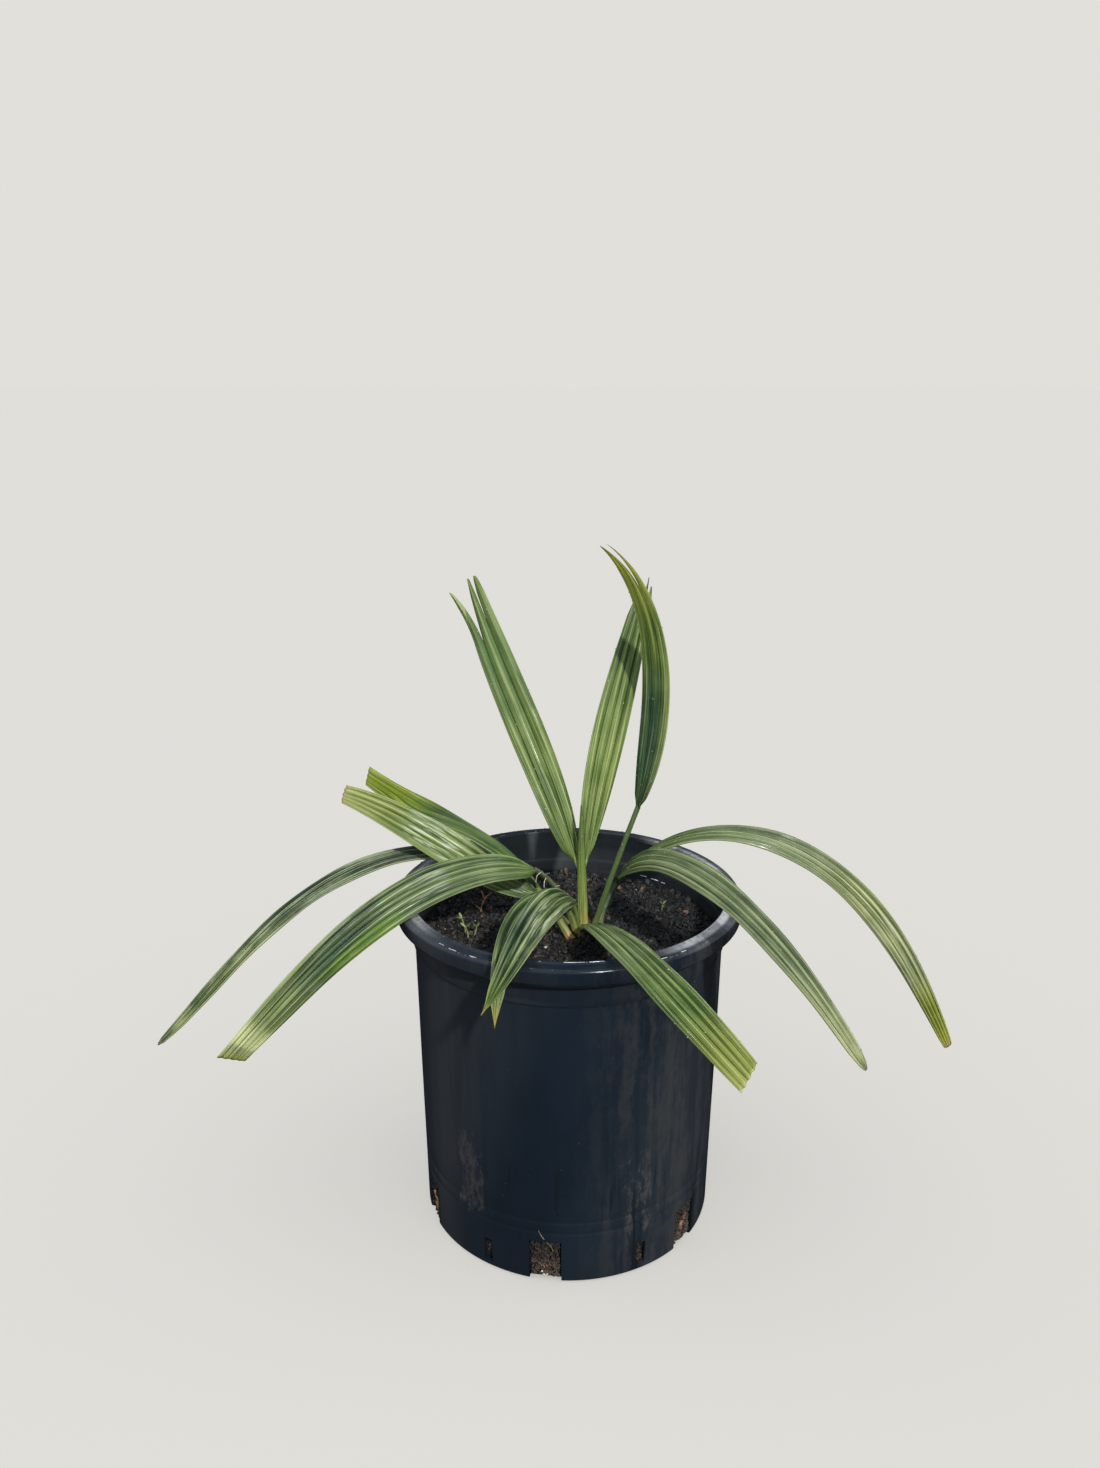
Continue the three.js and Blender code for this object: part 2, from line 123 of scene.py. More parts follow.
# Leaf greens, each a dark and a light colour as sRGB values
GREENS = {
    "night": ((20, 40, 28), (84, 106, 64)), "deep": ((26, 46, 32), (102, 120, 76)),
    "shade": ((40, 62, 24), (84, 104, 52)), "cool": ((42, 60, 36), (128, 142, 102)),
    "leafy": ((52, 76, 32), (130, 144, 82)), "mid": ((58, 82, 38), (122, 136, 82)),
    "dusty": ((56, 70, 46), (130, 138, 108)), "moss": ((78, 102, 60), (114, 130, 82)),
    "fresh": ((72, 96, 42), (142, 154, 94)), "soft": ((62, 82, 46), (160, 168, 122)),
    "silver": ((36, 52, 32), (156, 166, 128)), "grey": ((56, 72, 42), (184, 190, 150)),
    "pale": ((94, 104, 66), (190, 188, 150)),
    "straw": ((102, 118, 44), (174, 172, 100)), "lime": ((76, 96, 12), (134, 140, 40)),
    "gold": ((122, 134, 38), (204, 192, 100)), "storm": ((34, 48, 36), (152, 160, 138)),
    "bleached": ((140, 148, 98), (226, 226, 186)), "teal": ((18, 46, 40), (64, 94, 72)),
    "vivid": ((58, 92, 18), (114, 142, 46)), "reed": ((102, 116, 52), (178, 178, 124)),
}

# A blade's tones are greens at places from its base, 0, to its tip, 1. Its pleats end and split at others.
LOBES = {
    "frond_centre_left": dict(
        start=(3.4, 4.8, 178.4), length=150.4, width=18.1, heading=(141.2, 126.1), pitch=(69.1, 55.1, 58),
        roll=(-1, 32.6, 51.7), shoulder=0.31, tip=0.59, fall=4.1, pleats=3, ends=(0.98, 1, 1),
        splits=(0.78, 0.84), tears=(0.34, 0.14), spread=(-6.5, 0, 0), fingers=9, blunt=0.4, gloss=0.36,
        drops=70, tones=((0, "leafy"), (0.35, "mid"), (0.75, "moss"), (1, "fresh"))),
    "frond_centre_right": dict(
        start=(8.5, 5.3, 179.0), length=140.9, width=17.6, heading=(60, 56), pitch=(75.7, 65.1, 65.9),
        roll=(-78.9, -37.3, -4.6), shoulder=0.47, tip=0.41, fall=2.9, pleats=4, ends=(0.92, 0.96, 1, 0.97),
        splits=(0.9, 0.84, 0.93), tears=(0.3, 0.36, 0.3), fingers=9, gloss=0.36, drops=40,
        tones=((0, "leafy"), (0.4, "fresh"), (0.7, "mid"), (1, "mid"))),
    "frond_tall": dict(
        start=(32.5, 11.9, 201.9), length=143.3, width=17.6, heading=(38.4, 40.2), pitch=(72.1, 96.5, 148.5),
        roll=(20.4, -35.8, -75.2), shoulder=0.32, tip=0.19, fall=1.5, pleats=3, ends=(1, 1, 0.985),
        splits=(1, 0.78), tears=(0, 0.5), fingers=20, crease=0.32, gloss=0.3, drops=90, halves=True,
        zones=(((0.0, 0.55), (0.0, 0.66), "teal", 0.75), ((0.0, 0.8), (0.86, 1.1), "fresh", 0.8)),
        tones=((0, "night"), (0.3, "deep"), (0.6, "leafy"), (1, "gold"))),
    "frond_left_back": dict(
        start=(-15.1, 7.1, 164.9), length=103.8, width=17.5, heading=(158, 155.9), pitch=(47.8, 18.6, 26),
        roll=(-22, -3, 22), shoulder=0.31, tip=0.61, fall=3.4, pleats=4, trim=(1.5, 3, 0),
        fuller=(-9, 0.66, 0.14), gloss=0.32, drops=8,
        tones=((0, "shade"), (0.55, "shade"), (0.84, "lime"), (1, "lime"))),
    "frond_left_front": dict(
        start=(-13.9, -0.9, 162.9), length=106.1, width=18, heading=(172.9, 168), pitch=(19, 29.9, 14.4),
        roll=(1.3, 42.8, 55.1), shoulder=0.22, tip=0.5, fall=3, pleats=5, trim=(1.2, 0.4, 0.3),
        fuller=(0.6, 0.42, 0.26), painted_sheen=((0.36, 0.74), (0.1, 1.0), 0.6), gloss=0.24, drops=10,
        dry=(1.2, (166, 138, 96)), even=1.5, tones=((0, "shade"), (0.5, "leafy"), (1, "reed"))),
    "frond_far_left": dict(
        start=(-23.9, 16.3, 165.7), length=217.7, width=17.8, heading=(177.6, 200.7),
        pitch=(36.3, -33.1, -42.4), roll=(-12.7, 16.9, 21.8), shoulder=0.46, tip=0.31, fall=1.6, pleats=4,
        splits=(1, 0.985, 1), point=(16, 0.45), trim=(0.3, 0, 2.2), gloss=0.34, drops=10, halves=True,
        dry=(2.5, (120, 100, 70)), even=0.6, darker=0.08,
        tones=((0, "storm"), (0.5, "storm"), (0.8, "grey"), (1, "grey"))),
    "frond_low_left": dict(
        start=(-14.9, -4, 177.5), length=169.3, width=17.4, heading=(210.8, 210.6), pitch=(26, -26.4, -39.3),
        roll=(9, 64, 104), shoulder=0.11, tip=0.82, fall=2.2, pleats=6, crease=0.8, trim=(0.8, 2.4, 0),
        painted_sheen=((0.26, 0.44), (0.15, 0.85), 0.34), gloss=0.27, drops=12, halves=True,
        zones=(((0.4, 0.74), (-0.1, 0.34), "vivid", 0.8), ((0.5, 0.82), (0.36, 0.72), "teal", 0.5)),
        tones=((0, "leafy"), (0.15, "cool"), (0.3, "deep"), (0.62, "deep"), (0.88, "soft"),
            (0.935, "bleached"), (0.955, "bleached"), (0.97, "grey"), (1, "straw"))),
    "frond_small_front": dict(
        start=(2.6, -4.4, 162.2), length=126.3, width=16, heading=(251.7, 254.2), pitch=(38.7, -3.9, -6.1),
        roll=(31, 31.5, 33.5), shoulder=0.34, tip=0.09, fall=2.6, pleats=4, point=(14, 0.35),
        trim=(0.5, 0, 3.5), painted_sheen=((0.28, 0.6), (0.0, 0.6), 0.5), gloss=0.24, drops=14, halves=True,
        dry=(3.0, (140, 120, 60)), even=0.7, darker=0.06,
        zones=(((0.25, 0.85), (0.6, 1.1), "teal", 0.5), ((0.1, 0.7), (0.1, 0.5), "soft", 0.5)),
        tones=((0, "cool"), (0.3, "silver"), (0.5, "storm"), (0.78, "cool"), (0.93, "fresh"), (1, "gold"))),
    "frond_small_back": dict(
        start=(1.2, -7.4, 161.6), length=111, width=14, heading=(237.8, 266.6), pitch=(29.5, -2.3, -67),
        roll=(48.8, 17.3, -8.7), shoulder=0.21, tip=0.19, fall=2.7, pleats=4, point=(12, 0.35),
        trim=(0.5, 0, 3), gloss=0.3, drops=8, halves=True, dry=(1.5, (150, 120, 60)),
        tones=((0, "night"), (0.6, "night"), (0.88, "soft"), (1, "gold"))),
    "frond_front_right": dict(
        start=(9.9, -4.2, 149.2), length=170.6, width=17.4, heading=(-81.8, -60.5), pitch=(29, 4.9, -12),
        roll=(2.3, -1.2, -37.3), shoulder=0.29, tip=0.65, fall=3.8, pleats=5, trim=(0.4, 2.2, 0), gloss=0.33,
        drops=70, halves=True, tones=((0, "deep"), (0.4, "cool"), (0.75, "mid"), (1, "straw"))),
    "frond_right": dict(
        start=(24.4, 14.4, 166), length=185.6, width=16.3, heading=(-66, -43.8), pitch=(50, -11.8, -47),
        roll=(-49, -8.8, -4.7), shoulder=0.17, tip=0.31, fall=3.5, pleats=4, splits=(1, 0.97, 1),
        tears=(0, 0.3, 0), point=(8, 0.55), trim=(0.3, 0.6, 1.2), gloss=0.46, drops=70, halves=True,
        tones=((0, "mid"), (0.3, "dusty"), (0.7, "dusty"), (1, "pale"))),
    "frond_far_right": dict(
        start=(26.5, 17.4, 165.9), length=222, width=17.5, heading=(1.4, -17.3), pitch=(53.3, -35, -63.5),
        roll=(15, -30.4, -83.7), shoulder=0.45, tip=0.28, fall=2.9, pleats=5, point=(5, 0.8),
        trim=(0.2, 0.5, 0.4), painted_sheen=((0.62, 0.88), (0.0, 1.0), 0.35), gloss=0.36, drops=50, halves=True,
        dry=(2.2, (176, 146, 104)), darker=0.04,
        tones=((0, "shade"), (0.42, "dusty"), (0.62, "pale"), (0.8, "pale"), (0.9, "straw"), (1, "gold"))),
}

# A stalk's looks are the colours of its foot, its lower part, its top and its dark streaks.
STALKS = {
    "stalk_centre": dict(
        path=((7.4, -0.2, 145.3), (6.3, 2.2, 176), (5.9, 3.4, 208)), wide=(2.25, 2.0, 0.35),
        deep=(1.8, 1.5, 0.35), looks=((158, 144, 74), (122, 136, 66), (84, 106, 48), (44, 62, 26)), drops=14,
        bears=("frond_centre_left", "frond_centre_right")),
    "stalk_tall": dict(
        path=((12.6, 2.6, 145.3), (21.8, 6.8, 173), (32.2, 11.7, 201.3)), wide=(1.5, 1.3, 1.2),
        deep=(1.5, 1.2, 1.1), grow=0.05, looks=((90, 98, 50), (76, 94, 46), (80, 100, 54), (26, 38, 20)),
        drops=6),
    "stalk_right": dict(
        path=((15.6, 6, 145.3), (19.6, 12.5, 155.5), (25.9, 17.1, 164.9)), wide=(1.4, 1.3, 1.5),
        deep=(1.4, 1.2, 1.5), grow=0.12, looks=((84, 96, 54), (50, 68, 36), (46, 66, 36), (22, 32, 18)),
        drops=4, bears=("frond_right",)),
    "stalk_left_back": dict(
        path=((1.3, -11.7, 145.3), (-5.5, -5.5, 154.6), (-13.2, 3.4, 162.2)), wide=(2.0, 1.6, 1.6),
        deep=(1.8, 1.4, 1.9), grow=0.1, looks=((172, 130, 70), (122, 130, 56), (96, 116, 48), (50, 62, 26)),
        drops=5, bears=("frond_left_back", "frond_left_front")),
    "stalk_low_left": dict(
        path=((4.2, -8.5, 145.3), (-2.9, -4.6, 164), (-14.2, -4, 177.0)), wide=(1.7, 1.4, 1.2),
        deep=(1.6, 1.2, 1.0), grow=0.08, looks=((132, 126, 58), (84, 102, 40), (56, 64, 42), (30, 34, 20)),
        drops=3),
    "stalk_far_left": dict(
        path=((1.6, 1.6, 145.3), (-10, 11, 153.2), (-23.5, 16.2, 165.2)), wide=(1.6, 1.3, 1.2),
        deep=(1.5, 1.2, 1.0), grow=0.08, looks=((150, 142, 80), (100, 122, 60), (70, 92, 48), (44, 58, 32)),
        drops=3),
    "stalk_small": dict(
        path=((5.2, -4.2, 145.3), (4.2, -4.5, 153), (2.4, -5.6, 160.3)), wide=(1.1, 1.0, 1.2),
        deep=(1.1, 1.0, 1.9), grow=0.15, looks=((134, 128, 70), (96, 116, 56), (96, 116, 62), (44, 58, 30)),
        drops=2),
    "stalk_front_right": dict(
        path=((11.2, -3.4, 145.3), (10.6, -3.2, 147), (9.9, -3.6, 148.35)), wide=(1.3, 1.2, 1.1),
        deep=(1.2, 1.0, 0.9), grow=0.5, looks=((160, 148, 84), (108, 130, 66), (70, 96, 54), (48, 64, 36)),
        drops=0),
}

# Wet streaks on the lip and the inner wall, painted pale as glints, as angle, radius, height, length and
# width
PAINTED_GLINTS = (
    (-128, 80.9, 166.1, 4.5, 0.5), (-125.5, 82.1, 163.6, 2.2, 0.6), (-133, 80.6, 166.2, 3.0, 0.45),
    (-120, 80.9, 166.1, 3.6, 0.4), (-116.5, 82.2, 163.3, 2.6, 0.55), (-113, 76.1, 166.9, 3.2, 0.4),
    (-88, 76.0, 166.9, 9.0, 0.35), (-81, 76.0, 166.9, 6.0, 0.4), (-84, 82.2, 163.2, 6.0, 0.3),
    (-60, 80.9, 166.1, 4.0, 0.5), (-56.5, 82.1, 163.5, 2.6, 0.6), (-52, 80.6, 166.2, 3.0, 0.5),
    (-64, 76.1, 166.9, 3.4, 0.4), (44, 75.6, 166.9, 4.0, 0.4), (52, 75.5, 166.9, 2.4, 0.5),
    (118, 75.6, 166.9, 3.0, 0.4), (56.5, 72.3, 147.0, 4.0, 0.6), (51, 72.3, 146.8, 4.5, 0.6),
    (46.5, 72.3, 146.6, 2.4, 0.55))

# Loose mix, as name, count, sizes, stretch, dark, light and spot colours, roughness and subdivisions
CRUMBS = (
    ("crumbs_dark", 5000, (0.45, 1.35), (1.0, 0.8, 0.75), (10, 9, 10), (34, 32, 32), (54, 51, 48), 0.3, 1),
    ("crumbs_grey", 1700, (0.4, 1.25), (1.1, 0.9, 0.7), (30, 28, 28), (80, 75, 71), (116, 110, 103), 0.36, 1),
    ("crumbs_brown", 1200, (0.4, 1.2), (1.2, 0.8, 0.6), (34, 27, 23), (82, 65, 53), (110, 90, 74), 0.4, 1),
    ("clods", 820, (1.1, 2.3), (1.1, 0.9, 0.75), (12, 11, 12), (46, 42, 40), (74, 68, 63), 0.26, 2),
    ("bark_bits", 200, (0.6, 1.5), (1.7, 0.8, 0.4), (48, 38, 32), (90, 71, 59), (118, 99, 84), 0.5, 1),
    ("olive_bits", 130, (0.5, 1.5), (1.2, 0.9, 0.6), (64, 66, 40), (118, 118, 76), (140, 138, 96), 0.5, 1),
    ("pale_bits", 210, (0.28, 0.7), (1.2, 0.9, 0.7), (150, 142, 126), (214, 206, 190), (232, 226, 214),
     0.5, 1))

# Bark chips on the mix, as x, y and size
BARK = (
    (11, 36, 2.2), (14, 31, 1.8), (2.4, 40, 2.0), (27, 48, 2.6), (38, 47, 2.3), (-33, -8, 2.4), (-1, 68, 2.8),
    (6, 60, 2.0), (-40, 22, 1.8), (20, -34, 1.8), (47, -30, 2.2), (-20, -52, 2.2), (58, 20, 1.9),
    (-55, -24, 2.1), (0.5, -15, 2.4))

# Sprouts, as x, y, height, lean and their leaves' angles, lengths and slopes
SPROUTS = (
    (-47.9, -10, 6.0, (-1.0, 1.0), ((150, 4.5, 0.5), (20, 3.6, 0.8), (260, 3.0, 0.2))),
    (-49.5, -4, 8.0, (-2.0, 2.0), ((120, 4.2, 0.7), (200, 3.6, 0.4), (330, 3.0, 0.6))),
    (-45.5, -7, 5.0, (1.4, 1.5), ((60, 3.4, 0.6), (170, 3.0, 0.9))),
    (46.7, 22, 4.0, (0.6, 0.4), ((40, 3.0, 0.4), (150, 2.6, 0.5), (280, 2.8, 0.3))),
    (-12, 55, 4.5, (0.5, 0.2), ((100, 3.0, 0.5), (250, 2.8, 0.4))))

# The branches of a dead twig, as points of x, y and height over the mix, and first and last radius
TWIG = (
    (((-43, 13, 0.4), (-44, 20, 2.4), (-42, 27, 4.6), (-39, 31, 5.4)), 0.55, 0.3),
    (((-44, 19, 2.0), (-48, 22, 3.2), (-50, 27, 3.4)), 0.4, 0.2),
    (((-42.5, 25, 4.2), (-44, 30, 5.8), (-44.5, 33, 6.0)), 0.35, 0.2))

# White fibres at the low left blade's foot, from foot to tip
FIBRES = (
    ((-13, -4.5, 177), (-15.5, -8, 173)), ((-11.5, -4.6, 175.5), (-9, -8, 178)),
    ((-10.5, -4.4, 174.5), (-11.5, -8.5, 170.5)), ((-12, -4.6, 176), (-12.5, -8, 179)),
    ((-3, -9, 165), (-6, -12, 168)), ((-6.5, -5.6, 168.8), (-4.2, -8.4, 171.8)))

# In the drain openings: thick roots and a green rootlet's points as angle and height, and grit with its size
THICK_ROOTS = ((-155.6, 6), (-154.2, 9), (-156.4, 11), (-38.4, 8), (-36.6, 11))
ROOTLET = ((-100.4, 28.0), (-99.0, 24.6), (-97.4, 21.6), (-95.6, 19.0), (-95.0, 16.5))
GRIT = ((-98.6, 2.6, 0.8), (-97.4, 3.0, 0.6), (-99.4, 4.2, 0.5), (-36.5, 3.0, 0.7), (-38.8, 2.8, 0.5))

# Pleats are whole where a blade says nothing else.
for lobe in LOBES.values():
    lobe.setdefault("ends", (1,) * lobe["pleats"])
    lobe.setdefault("splits", (1,) * (lobe["pleats"] - 1))


def linear(colour):
    """The linear values of an sRGB colour given from 0 to 255."""
    return tuple((v / 255 / 12.92 if v <= 10 else ((v / 255 + 0.055) / 1.055) ** 2.4) for v in colour)


def leafy(green):
    """The linear values of a leaf green, a little deeper and more vivid than it is written."""
    return tuple(v * share for v, share in zip(linear(green), (0.85, 0.90, 0.71)))


class Value:
    """A number, vector or colour that a node gives. Work on it adds further nodes."""

    def __init__(self, tree, socket):
        self.tree = tree
        self.socket = socket

    def math(self, operation, *others):
        return self.tree.add("Math", (self, *others), operation=operation)

    def __mul__(self, other):
        return self.math("MULTIPLY", other)

    def __add__(self, other):
        return self.math("ADD", other)

    def fit(self, factor, offset):
        """This number times a factor, plus an offset."""
        return self.math("MULTIPLY_ADD", factor, offset)

    def larger(self, other):
        return self.math("MAXIMUM", other)

    def waves(self, count):
        """Even waves between 0 and 1, a count of them to each unit."""
        return (self * (2 * math.pi * count)).math("SINE").fit(0.5, 0.5)

    def rise(self, low, high, first=0.0, last=1.0):
        """A smooth step from the first number at low to the last at high."""
        return self.tree.add("MapRange", (self, low, high, first, last), interpolation_type="SMOOTHSTEP")

    def fall(self, low, high, first=1.0):
        """A smooth step from the first number at low to nothing at high."""
        return self.rise(low, high, first, 0.0)

    def tint(self, share, colour):
        """This colour with a share of another, which is a value or an sRGB colour."""
        return self.tree.mix(share, self, linear(colour) if isinstance(colour, tuple) else colour)


class Tree:
    """The node tree of a material or of the world, with short ways to add nodes."""

    def __init__(self, owner):
        owner.use_nodes = True
        self.owner = owner
        self.nodes = owner.node_tree.nodes
        self.links = owner.node_tree.links
        self.nodes.clear()

    def put(self, socket, value):
        if isinstance(value, Value):
            self.links.new(value.socket, socket)
        elif socket.type == "RGBA":
            socket.default_value = (*value, 1.0)
        else:
            socket.default_value = value

    def add(self, kind, inputs=(), output=0, **settings):
        """Adds a node and gives one of its outputs. Inputs are in order, or by name or number."""
        node = self.nodes.new("ShaderNode" + kind)
        for name, setting in settings.items():
            setattr(node, name, setting)
        for place, value in (inputs.items() if isinstance(inputs, dict) else enumerate(inputs)):
            self.put(node.inputs[place], value)
        return Value(self, node.outputs[output]) if len(node.outputs) else None

    def mix(self, share, first, second):
        return self.add("Mix", {0: share, 6: first, 7: second}, 2, data_type="RGBA")

    def ramp(self, value, stops):
        """A colour that passes through stops, each a place and linear values."""
        ramp = self.add("ValToRGB", (value,))
        band = ramp.socket.node.color_ramp
        band.interpolation = "EASE"
        band.elements[0].position, band.elements[-1].position = stops[0][0], stops[-1][0]
        for place, _ in stops[1:-1]:
            band.elements.new(place)
        for element, (_, colour) in zip(band.elements, stops):
            element.color = (*colour, 1.0)
        return ramp

    def place(self):
        return self.add("TexCoord", output="Object")

    def parts(self, vector):
        """The x, y and z of a vector."""
        return [Value(self, socket) for socket in self.add("SeparateXYZ", (vector,)).socket.node.outputs]

    def layer(self, name):
        """The two numbers of a layer of the mesh."""
        return self.parts(self.add("UVMap", uv_map=name))[:2]

    def vector(self, *values):
        return self.add("CombineXYZ", values)

    def noise(self, vector, scale, detail=3.0, rough=0.55):
        return self.add("TexNoise", {"Vector": vector, "Scale": scale, "Detail": detail, "Roughness": rough})

    def streaky(self, place, height, scale, detail=3.0, rough=0.55):
        """A noise drawn out along z, where the height is under one."""
        return self.noise(self.add("Mapping", {0: place, 3: (1.0, 1.0, height)}), scale, detail, rough)

    def bump(self, height, distance, strength, under=None):
        inputs = {"Strength": strength, "Distance": distance, "Height": height}
        if under is not None:
            inputs["Normal"] = under
        return self.add("Bump", inputs)

    def surface(self, inputs):
        """Gives the material its shader with these inputs, and gives the material."""
        self.add("OutputMaterial", (self.add("BsdfPrincipled", inputs),))
        return self.owner


def new_material(name):
    return Tree(bpy.data.materials.new(name))


def region(along, across, length, breadth):
    """One inside a part of a blade and nothing outside it, with soft borders."""
    (first, last), (inner, outer) = length, breadth
    soft, border = (last - first) * 0.3, 0.08
    inside = along.rise(first, first + soft) * along.fall(last - soft, last)
    return inside * across.rise(inner - border, inner + border) * across.fall(outer - border, outer + border)


def leaf_material(name, lobe, under=False):
    tree = new_material(name + ("_underside" if under else ""))
    place = tree.place()
    across, along = tree.layer("blade")
    to_end, to_margin = tree.layer("reach")
    pleat = across * float(lobe["pleats"])
    from_ridge = (pleat.math("FRACT") + -0.5).math("ABSOLUTE") * 2.0
    bands = tree.noise(tree.vector(pleat * 1.5, along * 2.2), 1.0, 2.0)
    lines = tree.noise(tree.vector(pleat * 9.0, along * 3.5), 1.0, 3.0, 0.6)
    clouds = tree.noise(place, 70.0)
    veins = pleat.waves(6)

    shade = bands * 1.1 + (lines * 0.8 + clouds * 0.4) + veins * 0.06
    middle, spread = 1.18 + lobe.get("darker", 0.0), 0.25 * lobe.get("even", 1.0)
    dark, light = (tree.ramp(along, [(stop, leafy(GREENS[green][tone])) for stop, green in lobe["tones"]])
                   for tone in (0, 1))
    for length, breadth, green, strength in lobe.get("zones", ()):
        share = region(along, across, length, breadth) * strength
        dark, light = (tree.mix(share, old, leafy(new)) for old, new in zip((dark, light), GREENS[green]))
    colour = tree.mix(shade.rise(middle - spread, middle + spread), dark, light)

    # Ridges and margins are pale, and the grooves get painted shade.
    pale = light.tint(0.45, (206, 212, 150))
    pleat_tone = tree.noise(tree.vector(pleat.math("FLOOR"), along * 1.5), 2.7, 1.0)
    colour = colour.tint(from_ridge.fall(0.03, 0.15) * pleat_tone.rise(0.38, 0.58) * 0.75, pale)
    groove_shade = from_ridge.rise(0.82, 0.97) * lines.rise(0.35, 0.55)
    colour = colour.tint(groove_shade * 0.7, dark.tint(0.5, (22, 34, 22)))
    colour = colour.tint(to_margin.fall(0.012, 0.05) * along.rise(0.02, 0.2) * 0.55, pale)
    if "dry" in lobe:
        reach, brown = lobe["dry"]
        ragged = to_end + (lines + -0.5) * 0.4
        colour = colour.tint(ragged.fall(0.06 * reach, 0.13 * reach) * 0.85, brown)
    freckles = tree.noise(place, 420.0, 4.0, 0.7).rise(0.66, 0.78)
    colour = colour.tint(freckles * 0.25, (170, 176, 140))
    # Painted sheen: a pale glare painted along wet streaks in one region of the blade
    if "painted_sheen" in lobe:
        length, breadth, strength = lobe["painted_sheen"]
        wet_glint = tree.noise(tree.vector(pleat * 4.0, along * 8.0, 3.7), 1.0, 3.0, 0.6)
        painted_glare = region(along, across, length, breadth) * wet_glint.rise(0.49, 0.62) * strength
        colour = colour.tint(painted_glare, (206, 212, 190))
    if under:
        colour = colour.tint(0.22, (128, 144, 108))

    shine = clouds.rise(0.42, 0.6) * lines.rise(0.4, 0.6)
    relief = tree.bump(lines, 0.00035, 0.7, tree.bump(veins, 0.00010, 0.8))
    return tree.surface({
        "Base Color": colour,
        "Roughness": clouds.fit(0.30, lobe["gloss"] + (0.2 if under else 0.08) - 0.1),
        "Specular IOR Level": 0.32,
        "Coat Weight": shine * (0.05 if under else 0.45),
        "Coat Roughness": 0.19,
        "Normal": tree.bump(tree.noise(place, 900.0, 3.0, 0.6), 0.00012, 0.5, relief)})


def stalk_material(name, looks):
    foot_colour, low, high, dark = looks
    tree = new_material(name)
    around, along = tree.layer("blade")
    grain = tree.noise(tree.vector(around * 24.0, along * 2.5), 1.0, 4.0)
    ribs = around.waves(11)
    colour = tree.mix(along.rise(0.15, 0.8), linear(low), linear(high))
    colour = colour.tint(grain.rise(0.44, 0.62) * 0.75, dark)
    colour = tree.mix(ribs * 0.28, colour, tuple(min(1.35 * v + 0.03, 1) for v in linear(low)))
    from_foot = along + (grain + -0.5) * 0.3
    colour = colour.tint(from_foot.fall(0.0, 0.24, 0.9), foot_colour)
    relief = tree.bump(tree.noise(tree.place(), 900.0), 0.00015, 0.6)
    return tree.surface({
        "Base Color": colour,
        "Roughness": grain.fit(0.25, 0.26),
        "Normal": tree.bump(ribs, 0.0002, 0.7, relief)})


def plain_material(name, dark, light, scale=500.0, rough=(0.3, 0.5), relief=0.0004, level=0.5):
    """A mottled material of two sRGB colours with a fine relief."""
    tree = new_material(name)
    place = tree.place()
    grain = tree.noise(place, scale, 5.0, 0.7)
    patch = tree.noise(place, scale * 0.37)
    return tree.surface({
        "Base Color": tree.mix((grain + patch).rise(0.85, 1.2), linear(dark), linear(light)),
        "Roughness": grain.fit(rough[1] - rough[0], rough[0]),
        "Specular IOR Level": level,
        "Normal": tree.bump(grain, relief, 0.8)})


def scuffed(x, y, z, mottle, streaks, box):
    """Where the wall's worn patch in a box of x and z shows, on the front."""
    x0, x1, z0, z1 = (v * MM for v in box)
    x = mottle.fit(0.012, x + -0.006)
    inside = x.rise(x0 - 0.004, x0 + 0.004) * x.fall(x1 - 0.004, x1 + 0.004)
    inside = inside * (z.rise(z0 - 0.008, z0 + 0.01) * z.fall(z1 - 0.016, z1 + 0.006))
    inside = inside * y.rise(-0.03, -0.04)
    return (mottle * 0.6 + streaks * 0.4 + inside * 0.2).rise(0.665, 0.705)


